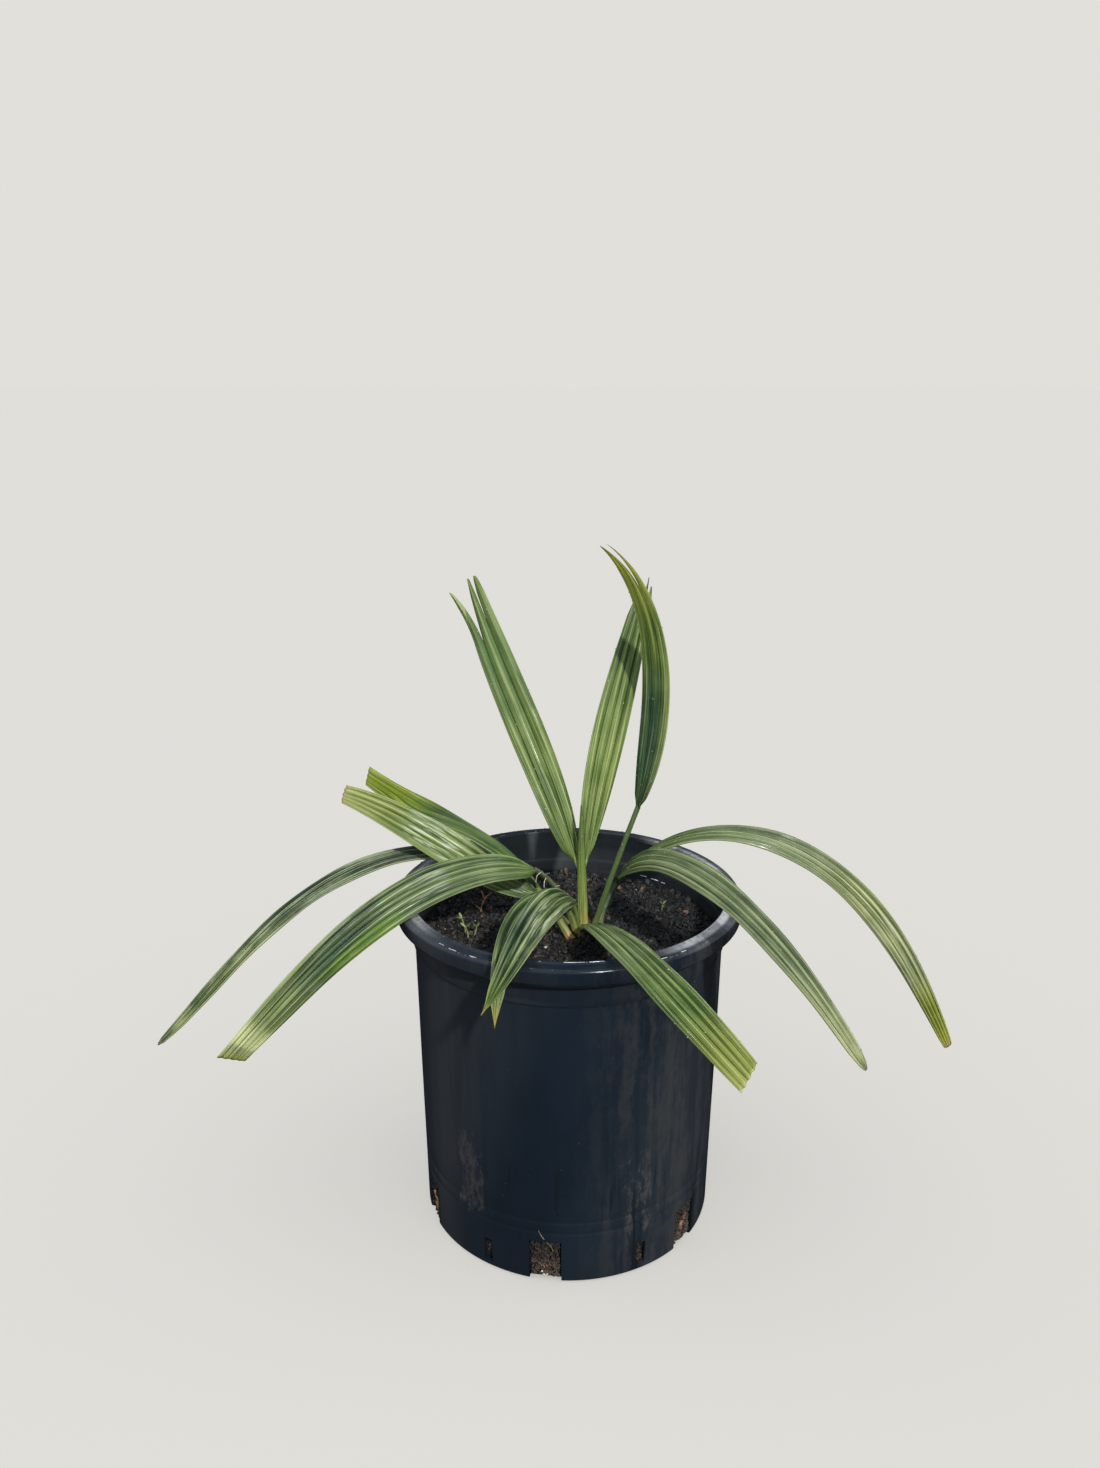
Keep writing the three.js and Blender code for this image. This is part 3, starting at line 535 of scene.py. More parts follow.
def pot_material():
    tree = new_material("pot_plastic")
    place = tree.place()
    x, y, z = tree.parts(place)
    radius = (x * x + y * y).math("SQRT")
    streaks = tree.streaky(place, 0.09, 150.0, 5.0, 0.65)
    mottle = tree.streaky(place, 0.55, 190.0, 5.0, 0.72)
    broad = tree.streaky(place, 0.5, 24.0)
    fine = tree.noise(place, 800.0, 5.0, 0.7)
    colour = tree.mix(broad.rise(0.35, 0.65), linear((12, 23, 34)), linear((19, 30, 41)))

    # A grey dust film lies beside the middle of the front and all over the back; the dark band it leaves down
    # the front's middle is painted shadow.
    film_and_shadow = (z.fit(-0.3, x) + 0.027).math("ABSOLUTE").rise(0.012, 0.058) * z.rise(0.02, 0.06, 0.45, 1.0)
    film_and_shadow = film_and_shadow.larger(y.rise(-0.01, 0.03) * broad.rise(0.2, 0.5)) * streaks.rise(0.3, 0.7).fit(0.6, 0.4)
    colour = colour.tint(film_and_shadow * 0.9, (44, 48, 53))
    # The left side is lighter, partly dust and partly painted reflection.
    colour = colour.tint(x.fall(-0.070, -0.045, 0.7), (60, 64, 70))

    # Grime on the right half, partly painted sunlight on that side, worn patches, dark cracks in the film and
    # pale specks
    grime_and_light = mottle * 0.45 + streaks * 0.55
    colour = colour.tint(x.rise(-0.002, 0.04) * grime_and_light.rise(0.43, 0.60) * 0.6, (55, 56, 57))
    worn = scuffed(x, y, z, mottle, streaks, (26, 41, 14, 74))
    worn = worn.larger(scuffed(x, y, z, mottle, streaks, (-52, -36, 24, 76)))
    blotch = tree.streaky(place, 0.5, 420.0, 5.0, 0.75).rise(0.42, 0.62)
    colour = colour.tint(worn * blotch * 0.66, (68, 63, 60))
    colour = colour.tint(streaks.fall(0.36, 0.41) * z.fall(0.02, 0.09) * 0.7, (9, 12, 15))
    colour = colour.tint(tree.noise(place, 520.0, 2.0, 0.8).rise(0.72, 0.76) * 0.4, (86, 84, 82))

    # The inner wall above the mix has painted light on the left and painted shade on the right.
    within = radius.fall(0.0747, 0.0750) * z.rise(0.1445, 0.147)
    colour = colour.tint(within * x.fall(-0.02, 0.02, 0.75), (66, 71, 75))
    colour = colour.tint(within * x.rise(-0.02, 0.015, 0.0, 0.7), (10, 14, 20))

    # Dust on the lip's top at its left and right, which also paints the sky's reflection there
    lip = z.rise(0.1645, 0.1655) * radius.rise(0.0776, 0.0800, 1.0, 0.14)
    sides = x.fall(-0.078, -0.054).larger(x.rise(0.034, 0.062))
    dust_and_reflection = lip * sides * broad.rise(0.2, 0.5) * mottle.rise(0.35, 0.65).fit(0.4, 0.6)
    colour = colour.tint(dust_and_reflection * 0.9, (176, 176, 178))

    rough = z.rise(0.156, 0.160).fit(-0.2, fine.fit(0.16, 0.26) + worn * 0.25)
    relief = tree.bump(tree.streaky(place, 0.35, 60.0, 2.0), 0.0009, 0.25)
    relief = tree.bump(worn, 0.00015, 0.6, relief)
    return tree.surface({
        "Base Color": colour,
        "Specular IOR Level": z.rise(0.162, 0.1655, 0.45, 0.25),
        "Roughness": rough + dust_and_reflection * 0.3 + within * 0.3,
        "Normal": tree.bump(fine, 0.00012, 0.3, relief)})


def soil_material(name, dark, light, spot, rough=0.5, shaded=False):
    """A crumbly material of three sRGB colours, with painted shade over the right, or, when shaded, high in
    the drain openings.
    """
    tree = new_material(name)
    place = tree.place()
    x, _, height = tree.parts(place)
    grain = tree.noise(place, 900.0, 5.0, 0.75)
    patch = tree.noise(place, 260.0, 3.0, 0.6)
    colour = tree.mix(patch.rise(0.38, 0.66), linear(dark), linear(light))
    colour = colour.tint(grain.rise(0.52, 0.72) * 0.5, spot)
    # Painted shade high in the drain openings, or else over the right side of the mix
    if shaded:
        colour = colour.tint(height.rise(0.008, 0.016, 0.0, 0.75), (22, 19, 18))
    else:
        colour = colour.tint(x.rise(0.002, 0.03, 0.0, 0.62), (15, 16, 19))
    cells = tree.add("TexVoronoi", {"Vector": place, "Scale": 520.0}, "Distance")
    return tree.surface({
        "Base Color": colour,
        "Roughness": grain.fit(0.3, rough),
        "Specular IOR Level": 0.45,
        "Normal": tree.bump(grain, 0.0006, 0.9, tree.bump(cells, 0.0006, 0.6))})


def placed(name, data):
    """A new object in the scene."""
    thing = bpy.data.objects.new(name, data)
    bpy.context.scene.collection.objects.link(thing)
    return thing


def add_mesh(name, vertices, faces, materials, uv=None, face_slots=None, smooth=True, sharp=None):
    """A piece on the root, from vertices in millimetres and rows of vertex numbers."""
    mesh = bpy.data.meshes.new(name)
    mesh.from_pydata((np.asarray(vertices, float) * MM).tolist(), [], [list(map(int, f)) for f in faces])
    for layer, values in (uv or {}).items():
        data = mesh.uv_layers.new(name=layer).data
        loops = np.empty(len(mesh.loops), dtype=np.int32)
        mesh.loops.foreach_get("vertex_index", loops)
        data.foreach_set("uv", np.asarray(values, dtype=np.float32)[loops].ravel())
    for material in materials:
        mesh.materials.append(material)
    if face_slots is not None:
        mesh.polygons.foreach_set("material_index", np.asarray(face_slots, dtype=np.int32))
    mesh.polygons.foreach_set("use_smooth", [smooth] * len(mesh.polygons))
    if sharp is not None:
        mesh.set_sharp_from_angle(angle=math.radians(sharp))
    mesh.update()
    piece = placed(name, mesh)
    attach(piece, "root")
    return piece


def unit(vectors):
    return vectors / np.linalg.norm(vectors, axis=-1)[..., None]


def polar(radius, angle, height):
    """Points from their distance from Z, their angle about it in radians and their height."""
    return np.stack(np.broadcast_arrays(radius * np.cos(angle), radius * np.sin(angle), height), -1)


def ring_faces(rows, sides):
    """Quads between rows of closed rings."""
    i = np.arange(rows - 1)[:, None] * sides
    k = np.arange(sides)[None]
    after = (k + 1) % sides
    return np.stack([i + k, i + after, i + sides + after, i + sides + k], -1).reshape(-1, 4).tolist()


def closed_faces(rows, sides):
    """The same with a face over the first and the last ring."""
    last = (rows - 1) * sides
    return ring_faces(rows, sides) + [list(range(sides))[::-1], list(range(last, last + sides))]


def through(values, s):
    """A smooth value through three given at the base, the middle and the tip."""
    base, middle, tip = values
    return base * (1 - s) * (1 - 2 * s) + middle * 4 * s * (1 - s) + tip * s * (2 * s - 1)


def lobe_axes(lobe, s):
    """The blade's own directions at s: along it, across it and out of its face."""
    heading = np.radians(lobe["heading"][0] + (lobe["heading"][1] - lobe["heading"][0]) * s)
    pitch = np.radians(through(lobe["pitch"], s))
    roll = np.radians(through(lobe["roll"], s))
    along = np.stack([np.cos(pitch) * np.cos(heading), np.cos(pitch) * np.sin(heading), np.sin(pitch)], -1)
    level = np.stack([np.sin(heading), -np.cos(heading), 0 * heading], -1)
    raised = np.cross(level, along)
    side = level * np.cos(roll)[:, None] + raised * np.sin(roll)[:, None]
    return along, side, np.cross(side, along)


def lobe_midrib(lobe, s, steps=400):
    """The midrib's points at the places s along the blade."""
    along, _, _ = lobe_axes(lobe, (np.arange(steps) + 0.5) / steps)
    points = np.vstack([[0, 0, 0], np.cumsum(along * lobe["length"] / steps, 0)]) + np.array(lobe["start"])
    return np.stack([np.interp(s * steps, np.arange(steps + 1), points[:, i]) for i in range(3)], -1)


def half_width(lobe, s):
    """Half of the blade's width at s: it opens to its shoulder and narrows to its tip."""
    opening = np.minimum(s / lobe["shoulder"], 1)
    rise = BASE_WIDTH_RATIO + (1 - BASE_WIDTH_RATIO) * np.sqrt(np.maximum(1 - (1 - opening) ** 2, 0))
    half = lobe["width"] / 2 * rise * (1 - (1 - lobe["tip"]) * s ** lobe["fall"])
    half = half * np.minimum(0.3 + 0.7 * s * lobe["length"] / BASE_PINCH, 1)
    if "point" in lobe:
        reach, share = lobe["point"]
        half = half * (share + (1 - share) * np.sqrt(np.clip((1 - s) * lobe["length"] / reach, 0, 1)))
    return half


def tear(lobe, groove_shade, s):
    """How far a groove has opened at s, as a share of a pleat's width."""
    splits, ends = lobe["splits"], lobe["ends"]
    if groove_shade < 0 or groove_shade >= len(splits):
        return 0 * s
    end = max(ends[groove_shade], ends[groove_shade + 1])
    if splits[groove_shade] >= end:
        return 0 * s
    widest = lobe["tears"][groove_shade] if "tears" in lobe else 0.12
    return widest * np.clip((s - splits[groove_shade]) / (end - splits[groove_shade]), 0, 1)


def joined_pleats(lobe, pleat):
    """The first and last pleat of the run that stays joined to this one up to its tip."""
    first = last = pleat
    while first > 0 and lobe["splits"][first - 1] >= 1:
        first -= 1
    while last < len(lobe["splits"]) and lobe["splits"][last] >= 1:
        last += 1
    return first, last


def pleat_places(lobe, pleat, s, t, half, grooves):
    """How far to the side the points of one pleat lie, and the pleat's whole width."""
    left = -half + 2 * half * grooves[pleat]
    right = -half + 2 * half * grooves[pleat + 1]
    width = right - left
    left = left + width * tear(lobe, pleat - 1, s)
    right = right - width * tear(lobe, pleat, s)
    lateral = left[:, None] + (right - left)[:, None] * (t[None] + 1) / 2
    end = lobe["ends"][pleat]
    first, last = joined_pleats(lobe, pleat)
    if "fingers" in lobe:
        centre = half * (grooves[first] + grooves[last + 1] - 1)
        centre = centre + width * (tear(lobe, first - 1, s) - tear(lobe, last, s)) / 2
        blunt = lobe.get("blunt", 0.1)
        to_end = (end - s) * lobe["length"]
        narrow = blunt + (1 - blunt) * np.clip(to_end / lobe["fingers"], 0, 1) ** 0.6
        lateral = centre[:, None] + (lateral - centre[:, None]) * narrow[:, None]
    open_grooves = [g for g in (first - 1, last) if 0 <= g < len(lobe["splits"])]
    free = max((lobe["splits"][g] for g in open_grooves), default=1)
    if "spread" in lobe and end > free:
        past = np.clip(s - free, 0, None) / (end - free)
        lateral = lateral + (lobe["spread"][pleat] * past ** 2)[:, None]
    return lateral, width


def blade_surface(lobe, pleat, s, t, shape):
    """Points of one pleat's mid surface at stations s and places t from -1 to 1 across it."""
    along, side, face = lobe_axes(lobe, s)
    amount, place, spread = lobe.get("fuller", (0, 0.5, 1))
    fuller = amount * np.exp(-((s - place) / spread) ** 2)
    half = half_width(lobe, s) + np.abs(fuller) / 2
    lateral, width = pleat_places(lobe, pleat, s, t, half, shape["grooves"])
    open_share = half / (lobe["width"] / 2)
    near_end = np.clip(1 - (lobe["ends"][pleat] - s) * lobe["length"] / TRIM_REACH, 0, 1) ** 2

    # The pleat is a ridge with its peak near its middle, and it flattens toward a trimmed end.
    slow = 1 + 0.15 * np.sin(s * shape["slow"] + pleat * 1.7)
    fold = width * (0.13 + 0.15 * (1 - open_share)) * shape["fold"][pleat] * slow
    fold = fold * lobe.get("crease", 1.0) * (1 - 0.75 * near_end * ("trim" in lobe))
    peak = shape["peak"][pleat]
    bent = np.where(t < peak, (t + 1) / (peak + 1) - 1, (t - peak) / (1 - peak))
    height = fold[:, None] * (1 - 2 * np.abs(bent[None]) ** 1.25)

    # The margins ripple.
    reach = lateral / np.maximum(half, 0.5)[:, None]
    lateral = lateral + fuller[:, None] / 2
    ripple = shape["wave"] * np.sin(s * lobe["length"] / shape["pitch"] + shape["phase"])
    height = height + (ripple * open_share)[:, None] * reach ** 3
    points = lobe_midrib(lobe, s)[:, None] + side[:, None] * lateral[..., None]
    points = points + face[:, None] * height[..., None]
    if "trim" in lobe:
        further, slope, rounding = lobe["trim"]
        shift = further + slope * reach - rounding * np.abs(reach) ** 1.6
        shift = shift + shape["nick"] * np.sin(9 * reach + pleat)
        points += along[:, None] * (shift * near_end[:, None])[..., None]
    return points, face, reach


def blade_mesh(name, lobe):
    """A pleated sheet, one closed strip to each pleat. Gives places for drops, with their normals."""
    pleats = lobe["pleats"]
    local = np.random.default_rng(sum(map(ord, name)))
    grooves = np.linspace(0, 1, pleats + 1)
    grooves[1:-1] += local.uniform(-0.18, 0.18, pleats - 1) / pleats
    shape = dict(
        grooves=grooves, fold=local.uniform(0.6, 1.35, pleats), slow=local.uniform(6, 12),
        peak=local.uniform(-0.3, 0.3, pleats), nick=local.uniform(0.15, 0.3),
        wave=local.uniform(0.15, 0.4), pitch=local.uniform(7, 11), phase=local.uniform(0, 6.28))
    vertices, faces, slots, blade, reach, seats = [], [], [], [], [], []
    count = 0
    t = np.linspace(-1, 1, PLEAT_CELLS + 1)
    ring = 2 * len(t)
    _, _, face = lobe_axes(lobe, np.linspace(0.05, 0.6, 20))
    upper_first = face[:, 2].mean() > 0
    slot_row = np.where((np.arange(ring) < PLEAT_CELLS) == upper_first, 0, 1).tolist()
    for pleat, end in enumerate(lobe["ends"]):
        stations = int(end * lobe["length"] / STATION_STEP)
        s = np.linspace(0, end, stations + 1)
        points, face, edge = blade_surface(lobe, pleat, s, t, shape)
        offset = face[:, None] * SHEET / 2
        vertices.append(np.concatenate([points + offset, (points - offset)[:, ::-1]], 1).reshape(-1, 3))
        inner = slice(4, -4)
        seat_normals = np.repeat(face[inner], len(t), 0)
        seats.append((points[inner].reshape(-1, 3), seat_normals, np.abs(edge[inner]).ravel()))
        across = (pleat + (t + 1) / 2) / pleats
        across = np.concatenate([across, across[::-1]])
        blade.append(np.stack(np.broadcast_arrays(across[None], s[:, None]), -1).reshape(-1, 2))
        margin = np.clip(1 - np.abs(edge), 0, 1) * (half_width(lobe, s) / 10)[:, None]
        margin = np.concatenate([margin, margin[:, ::-1]], 1)
        to_end = (end - s) * lobe["length"] / 10
        reach.append(np.stack(np.broadcast_arrays(to_end[:, None], margin), -1).reshape(-1, 2))
        faces.extend((np.array(ring_faces(stations + 1, ring)) + count).tolist())
        slots.extend(slot_row * stations)
        last = count + stations * ring
        count = last + ring
        faces.extend([last + k, last + k + 1, count - 2 - k, count - 1 - k] for k in range(PLEAT_CELLS))
        slots.extend([0] * PLEAT_CELLS)
    piece = add_mesh(
        "blade_" + name, np.concatenate(vertices), faces,
        [leaf_material(name, lobe), leaf_material(name, lobe, under=True)],
        uv={"blade": np.concatenate(blade), "reach": np.concatenate(reach)}, face_slots=slots)
    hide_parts(*([name + "_inner", name + "_outer"] if lobe.get("halves") else [name]))
    points, normals, edge = (np.concatenate(part) for part in zip(*seats))
    normals = np.where((normals[:, 2] < 0)[:, None], -normals, normals)
    chance = 0.15 + edge ** 6
    chosen = local.choice(len(points), lobe["drops"], replace=False, p=chance / chance.sum())
    return points[chosen] + normals[chosen] * SHEET / 2, normals[chosen]


def bezier(path, s):
    """Points and directions at s on a curve through a path's foot, middle and tip."""
    foot, middle, tip = (np.array(p, float) for p in path)
    control = 2 * middle - 0.5 * foot - 0.5 * tip
    s = s[:, None]
    points = foot * (1 - s) ** 2 + control * 2 * s * (1 - s) + tip * s ** 2
    return points, unit(2 * (1 - s) * (control - foot) + 2 * s * (tip - control))


def tube(points, tangent, wide, deep, sides, relief=1.0):
    """A closed tube round a path, as vertices, faces and its around and along places."""
    across = np.cross([0.0, 1.0, 0.0], tangent)
    across /= np.maximum(np.linalg.norm(across, axis=1), 1e-9)[:, None]
    depth = np.cross(tangent, across)
    angle = np.linspace(0, 2 * np.pi, sides, endpoint=False)
    ring = (
        points[:, None] + across[:, None] * (wide[:, None] * np.cos(angle) * relief)[..., None]
        + depth[:, None] * (deep[:, None] * np.sin(angle) * relief)[..., None])
    places = np.broadcast_arrays((angle / (2 * np.pi))[None], np.linspace(0, 1, len(points))[:, None])
    return ring.reshape(-1, 3), closed_faces(len(points), sides), np.stack(places, -1).reshape(-1, 2)


def merged(shapes):
    """The vertices and faces of many shapes as those of one."""
    starts = np.cumsum([0] + [len(vertices) for vertices, _ in shapes]).tolist()
    faces = [[v + start for v in face] for start, (_, rows) in zip(starts, shapes) for face in rows]
    return np.concatenate([vertices for vertices, _ in shapes]), faces


def joined(name, shapes, material):
    """Many small shapes of one kind as one piece."""
    piece = add_mesh(name, *merged(shapes), [material])


def thread(points, first, last, sides=6):
    """A thin round thread through points, its radius going from first to last."""
    points = np.asarray(points, float)
    place = np.linspace(0, 1, len(points))
    s = np.linspace(0, 1, 5 * len(points))
    smooth = np.stack([np.interp(s, place, points[:, i]) for i in range(3)], -1)
    for _ in range(4):
        smooth[1:-1] = 0.25 * smooth[:-2] + 0.5 * smooth[1:-1] + 0.25 * smooth[2:]
    radius = first + (last - first) * s
    vertices, faces, _ = tube(smooth, unit(np.gradient(smooth, axis=0)), radius, radius, sides)
    return vertices, faces


def ball(subdivisions):
    """The vertices and triangles of a round ball of radius one."""
    shape = bmesh.new()
    bmesh.ops.create_icosphere(shape, subdivisions=subdivisions, radius=1.0)
    vertices = np.array([v.co[:] for v in shape.verts])
    faces = np.array([[v.index for v in f.verts] for f in shape.faces])
    shape.free()
    return vertices, faces


def copies(name, points, triangles, material, smooth):
    """One piece from many copies of a ball, their points given copy by copy."""
    count, size = points.shape[:2]
    faces = triangles[None] + (np.arange(count) * size)[:, None, None]
    piece = add_mesh(name, points.reshape(-1, 3), faces.reshape(-1, 3), [material], smooth=smooth)


def scatter(name, places, sizes, stretch, material, subdivisions=1, rough=0.25):
    """Many small rough lumps joined in one piece."""
    base, triangles = ball(subdivisions)
    count = len(places)
    turn, _ = np.linalg.qr(rng.normal(size=(count, 3, 3)))
    wobble = 1 + rng.uniform(-rough, rough, (count, len(base), 1))
    lump = base[None] * wobble * (sizes[:, None] * np.array(stretch))[:, None]
    lump = np.einsum("nij,nkj->nki", turn, lump) + places[:, None]
    copies(name, lump, triangles, material, smooth=False)


def beads(name, places, normals, sizes, material):
    """Flattened drops of water seated on a surface."""
    base, triangles = ball(2)
    side = unit(np.cross(normals, np.array([0.3, 0.5, 0.81])))
    axes = np.stack([side, np.cross(normals, side), normals * 0.5], 1)
    drop = np.einsum("ki,nij->nkj", base, axes * sizes[:, None, None]) + places[:, None]
    copies(name, drop, triangles, material, smooth=True)


def add_camera():
    camera = placed("camera", bpy.data.cameras.new("camera"))
    camera.location = CAMERA_PLACE
    camera.rotation_euler = (math.radians(90 - CAMERA_DOWN), 0.0, math.radians(CAMERA_LEFT))
    camera.data.sensor_width = SENSOR
    camera.data.lens = FOCAL_PIXELS / FRAME_PIXELS * SENSOR
    camera.data.clip_start = 0.01
    bpy.context.scene.camera = camera


add_camera()

# Blades and stalks


def branch(points, lobe):
    """A short branch from a stalk's middle line to the base of a blade, with its layer's numbers."""
    midrib = lobe_midrib(lobe, np.array([0.0, 0.03, 0.07]))
    nearest = int(np.argmin(np.linalg.norm(points - midrib[0], axis=1)))
    path = np.vstack([points[max(nearest - 5, 0)], midrib])
    vertices, faces = thread(path, BRANCH_RADIUS, BRANCH_TIP_RADIUS, 14)
    return vertices, faces, np.tile((0.5, nearest / len(points)), (len(vertices), 1))


def make_stalk(name, stalk):
    """A ribbed stalk that flares at its foot. Gives places for drops, with their normals."""
    s = np.linspace(0, 1 + stalk.get("grow", 0.0), 64)
    points, tangent = bezier(stalk["path"], s)
    wide, deep = through(stalk["wide"], s), through(stalk["deep"], s)
    angle = np.linspace(0, 2 * np.pi, STALK_SIDES, endpoint=False)
    ribs = 0.05 * np.cos(9 * angle)[None]
    swell = 0.03 * np.sin(s * 31 + 1)[:, None] * np.cos(2 * angle)[None]
    flare = 1 + 0.22 * np.clip(1 - s / 0.07, 0, 1)
    shapes = [tube(points, tangent, wide, deep, STALK_SIDES, (1 + ribs + swell) * flare[:, None])]
    shapes += [branch(points, LOBES[blade]) for blade in stalk.get("bears", ())]
    vertices, faces = merged([shape[:2] for shape in shapes])
    layers = {"blade": np.concatenate([shape[2] for shape in shapes])}
    material = stalk_material(name, stalk["looks"])
    piece = add_mesh("petiole_" + name, vertices, faces, [material], uv=layers, sharp=50)
    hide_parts(name)
    chosen = rng.integers(6, 58, stalk["drops"])
    turn = rng.uniform(-2.6, -0.5, stalk["drops"])
    normals = polar(1.0, turn, 0.1)
    return points[chosen] + normals * (0.5 * (wide + deep))[chosen][:, None], normals


drops = [blade_mesh(name, lobe) for name, lobe in LOBES.items()]
drops += [make_stalk(name, stalk) for name, stalk in STALKS.items()]
places, normals = (np.concatenate(part) for part in zip(*drops))
water = plain_material("water", (108, 128, 84), (156, 172, 132), 300.0, (0.04, 0.08), WATER_RELIEF)
beads("droplets", places, normals, 0.14 + 0.30 * rng.uniform(0, 1, len(places)) ** 2, water)

# Pot


def wall_radius(height):
    return WALL_FOOT_RADIUS + (WALL_STEP_RADIUS - WALL_FOOT_RADIUS) * height / WALL_STEP_HEIGHT


def arc(centre, radius, first, last, count=6):
    """Points of a profile's arc, from the first angle to the last in degrees."""
    angles = np.radians(np.linspace(first, last, count))
    return [(centre[0] + radius * math.cos(a), centre[1] + radius * math.sin(a)) for a in angles]


def pot_profile():
    """The pot's outline as radius and height, from the floor up the outside and down the inside."""
    neck = WALL_STEP_RADIUS + WALL_STEP_DEPTH
    inner_neck, inner_step = neck - WALL_THICKNESS, WALL_STEP_RADIUS - WALL_THICKNESS
    lip_inside, lip_bottom = LIP_RADIUS - LIP_WALL, POT_HEIGHT - LIP_DROP
    profile = [(0.01, 0.0), (40, 0.0), (68.0, 0.0)] + arc((WALL_FOOT_RADIUS - 2.0, 2.0), 2.0, -90, 0)
    for height in GROOVE_HEIGHTS:
        for offset, depth in ((-1.6, 0), (-0.7, 0.14), (0, 0.34), (0.7, 0.14), (1.6, 0)):
            profile.append((wall_radius(height + offset) - depth, height + offset))
    for height in range(42, 144, 8):
        profile.append((wall_radius(height), height))

    # The step, the neck and the rolled lip
    profile += [(WALL_STEP_RADIUS - 0.02, 143.6), (WALL_STEP_RADIUS, 144.4), (neck - 0.25, 144.7)]
    profile += [(neck, 145.2), (neck + 0.2, 149)]
    profile += [(neck + 0.5, lip_bottom - 4.2), (neck + 2.2, lip_bottom - 3.7)]
    profile += arc((neck + 2.5, lip_bottom - 2.9), 0.75, -70, 80, 5)
    profile += [(neck + 1.4, lip_bottom - 1.8), (neck + 1.5, POT_HEIGHT - 2.4)]
    profile += [(lip_inside - 0.4, POT_HEIGHT - 2.5), (lip_inside, POT_HEIGHT - 3.0)]
    profile += [(lip_inside, lip_bottom + 0.5)]
    profile += arc((LIP_RADIUS - LIP_WALL / 2, lip_bottom + 0.6), LIP_WALL / 2, -180, 0, 6)
    profile += [(LIP_RADIUS, POT_HEIGHT - 3.2)] + arc((LIP_RADIUS - 1.9, POT_HEIGHT - 2.7), 1.9, 4, 84, 7)
    profile += [(LIP_RADIUS - 3.6, POT_HEIGHT - 0.95), (LIP_RADIUS - 5.0, POT_HEIGHT - 0.62)]
    profile += [(MOUTH_RADIUS + 1.9, POT_HEIGHT - 0.42), (MOUTH_RADIUS + 1.5, POT_HEIGHT - 0.12)]
    profile += arc((MOUTH_RADIUS + 0.75, POT_HEIGHT - 0.75), 0.75, 70, 180, 6)

    # The inside
    profile += [(inner_neck + 0.9, 158), (inner_neck + 0.6, 152), (inner_neck + 0.4, 151.3)]
    profile += [(inner_step + 0.4, 150.8), (inner_step + 0.1, 149.6)]
    profile += [(wall_radius(height) - WALL_THICKNESS, height) for height in (140, 100, 60, 20, 5)]
    floor_radii = (WALL_FOOT_RADIUS - WALL_THICKNESS - 1.0, 40, 0.01)
    return profile + [(radius, FLOOR_THICKNESS) for radius in floor_radii]


def opening(angle, width, bottom, top):
    """A box through the wall, turned to its angle."""
    sides = (-width / 2, width / 2)
    corners = np.array([[x, y, z] for x in CUTTER_REACH for y in sides for z in (bottom, top)])
    c, s = math.cos(math.radians(angle)), math.sin(math.radians(angle))
    faces = [(0, 1, 3, 2), (4, 6, 7, 5), (0, 4, 5, 1), (2, 3, 7, 6), (0, 2, 6, 4), (1, 5, 7, 3)]
    return corners @ np.array([[c, s, 0], [-s, c, 0], [0, 0, 1]]), faces


def make_pot(segments=288):
    """The turned pot, a little uneven, with its drain openings cut."""
    radius, height = np.array(pot_profile()).T
    turns = np.linspace(0, 2 * np.pi, segments, endpoint=False)
    vertices = polar(radius[:, None], turns, height[:, None]).reshape(-1, 3)
    x, y, z = vertices.T
    angle, radius = np.arctan2(y, x), np.hypot(x, y)
    sway = 0.10 * np.sin(3 * angle + z * 0.02) + 0.06 * np.sin(7 * angle - z * 0.05 + 1)
    vertices[:, :2] *= np.where(radius > 30, (radius + sway) / np.maximum(radius, 1), 1.0)[:, None]
    pot = add_mesh("pot_body", vertices, closed_faces(len(height), segments), [pot_material()])
    openings = [opening(angle, NOTCH_WIDTH, -1, NOTCH_HEIGHT) for angle in NOTCH_ANGLES]
    openings += [opening(angle, SLOT_WIDTH, SLOT_BOTTOM, SLOT_BOTTOM + SLOT_HEIGHT) for angle in SLOT_ANGLES]
    corners, faces = merged(openings)
    cutter_mesh = bpy.data.meshes.new("openings")
    cutter_mesh.from_pydata((corners * MM).tolist(), [], faces)
    cutter = placed("openings", cutter_mesh)
    cut = pot.modifiers.new("openings", "BOOLEAN")
    cut.operation, cut.object, cut.solver = "DIFFERENCE", cutter, "EXACT"
    made = bpy.data.meshes.new_from_object(pot.evaluated_get(bpy.context.evaluated_depsgraph_get()))
    pot.modifiers.clear()
    pot.data = made
    bpy.data.objects.remove(cutter)
    made.polygons.foreach_set("use_smooth", [True] * len(made.polygons))
    made.set_sharp_from_angle(angle=math.radians(38))
    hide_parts("pot")


make_pot()

turn = np.concatenate([rng.normal(-2.3, 0.25, 26), rng.normal(-0.95, 0.3, 26), rng.uniform(-3.14, 3.14, 60)])
rim = np.where(rng.uniform(size=len(turn)) < 0.5, LIP_RADIUS - 1.2, MOUTH_RADIUS + 1.4)
places = polar(rim, turn, np.where(rim > 78, POT_HEIGHT - 1.0, POT_HEIGHT - 0.15))
# Drops of water on the rim; their pale grey colour is painted highlight.
wet_glint = plain_material("wet_rim", (60, 68, 74), (104, 112, 116), 300.0, (0.12, 0.18), WATER_RELIEF)
upward = np.tile([0.0, 0.0, 1.0], (len(turn), 1))
beads("rim_droplets", places, upward, rng.uniform(0.25, 0.6, len(turn)), wet_glint)

# Wet streaks on the lip and inner wall, whose pale colour is painted glint
shapes = []
for angle, radius, height, length, width in PAINTED_GLINTS:
    turn = np.radians(angle + np.linspace(-0.5, 0.5, 6) * math.degrees(length / radius))
    shapes.append(thread(polar(radius, turn, height), 0.5 * width, 0.35 * width))
glint_paint = plain_material("glint_streak_paint", (150, 156, 158), (214, 218, 218), 500.0, (0.08, 0.14), WATER_RELIEF)
joined("glint_streaks", shapes, glint_paint)

# Potting mix


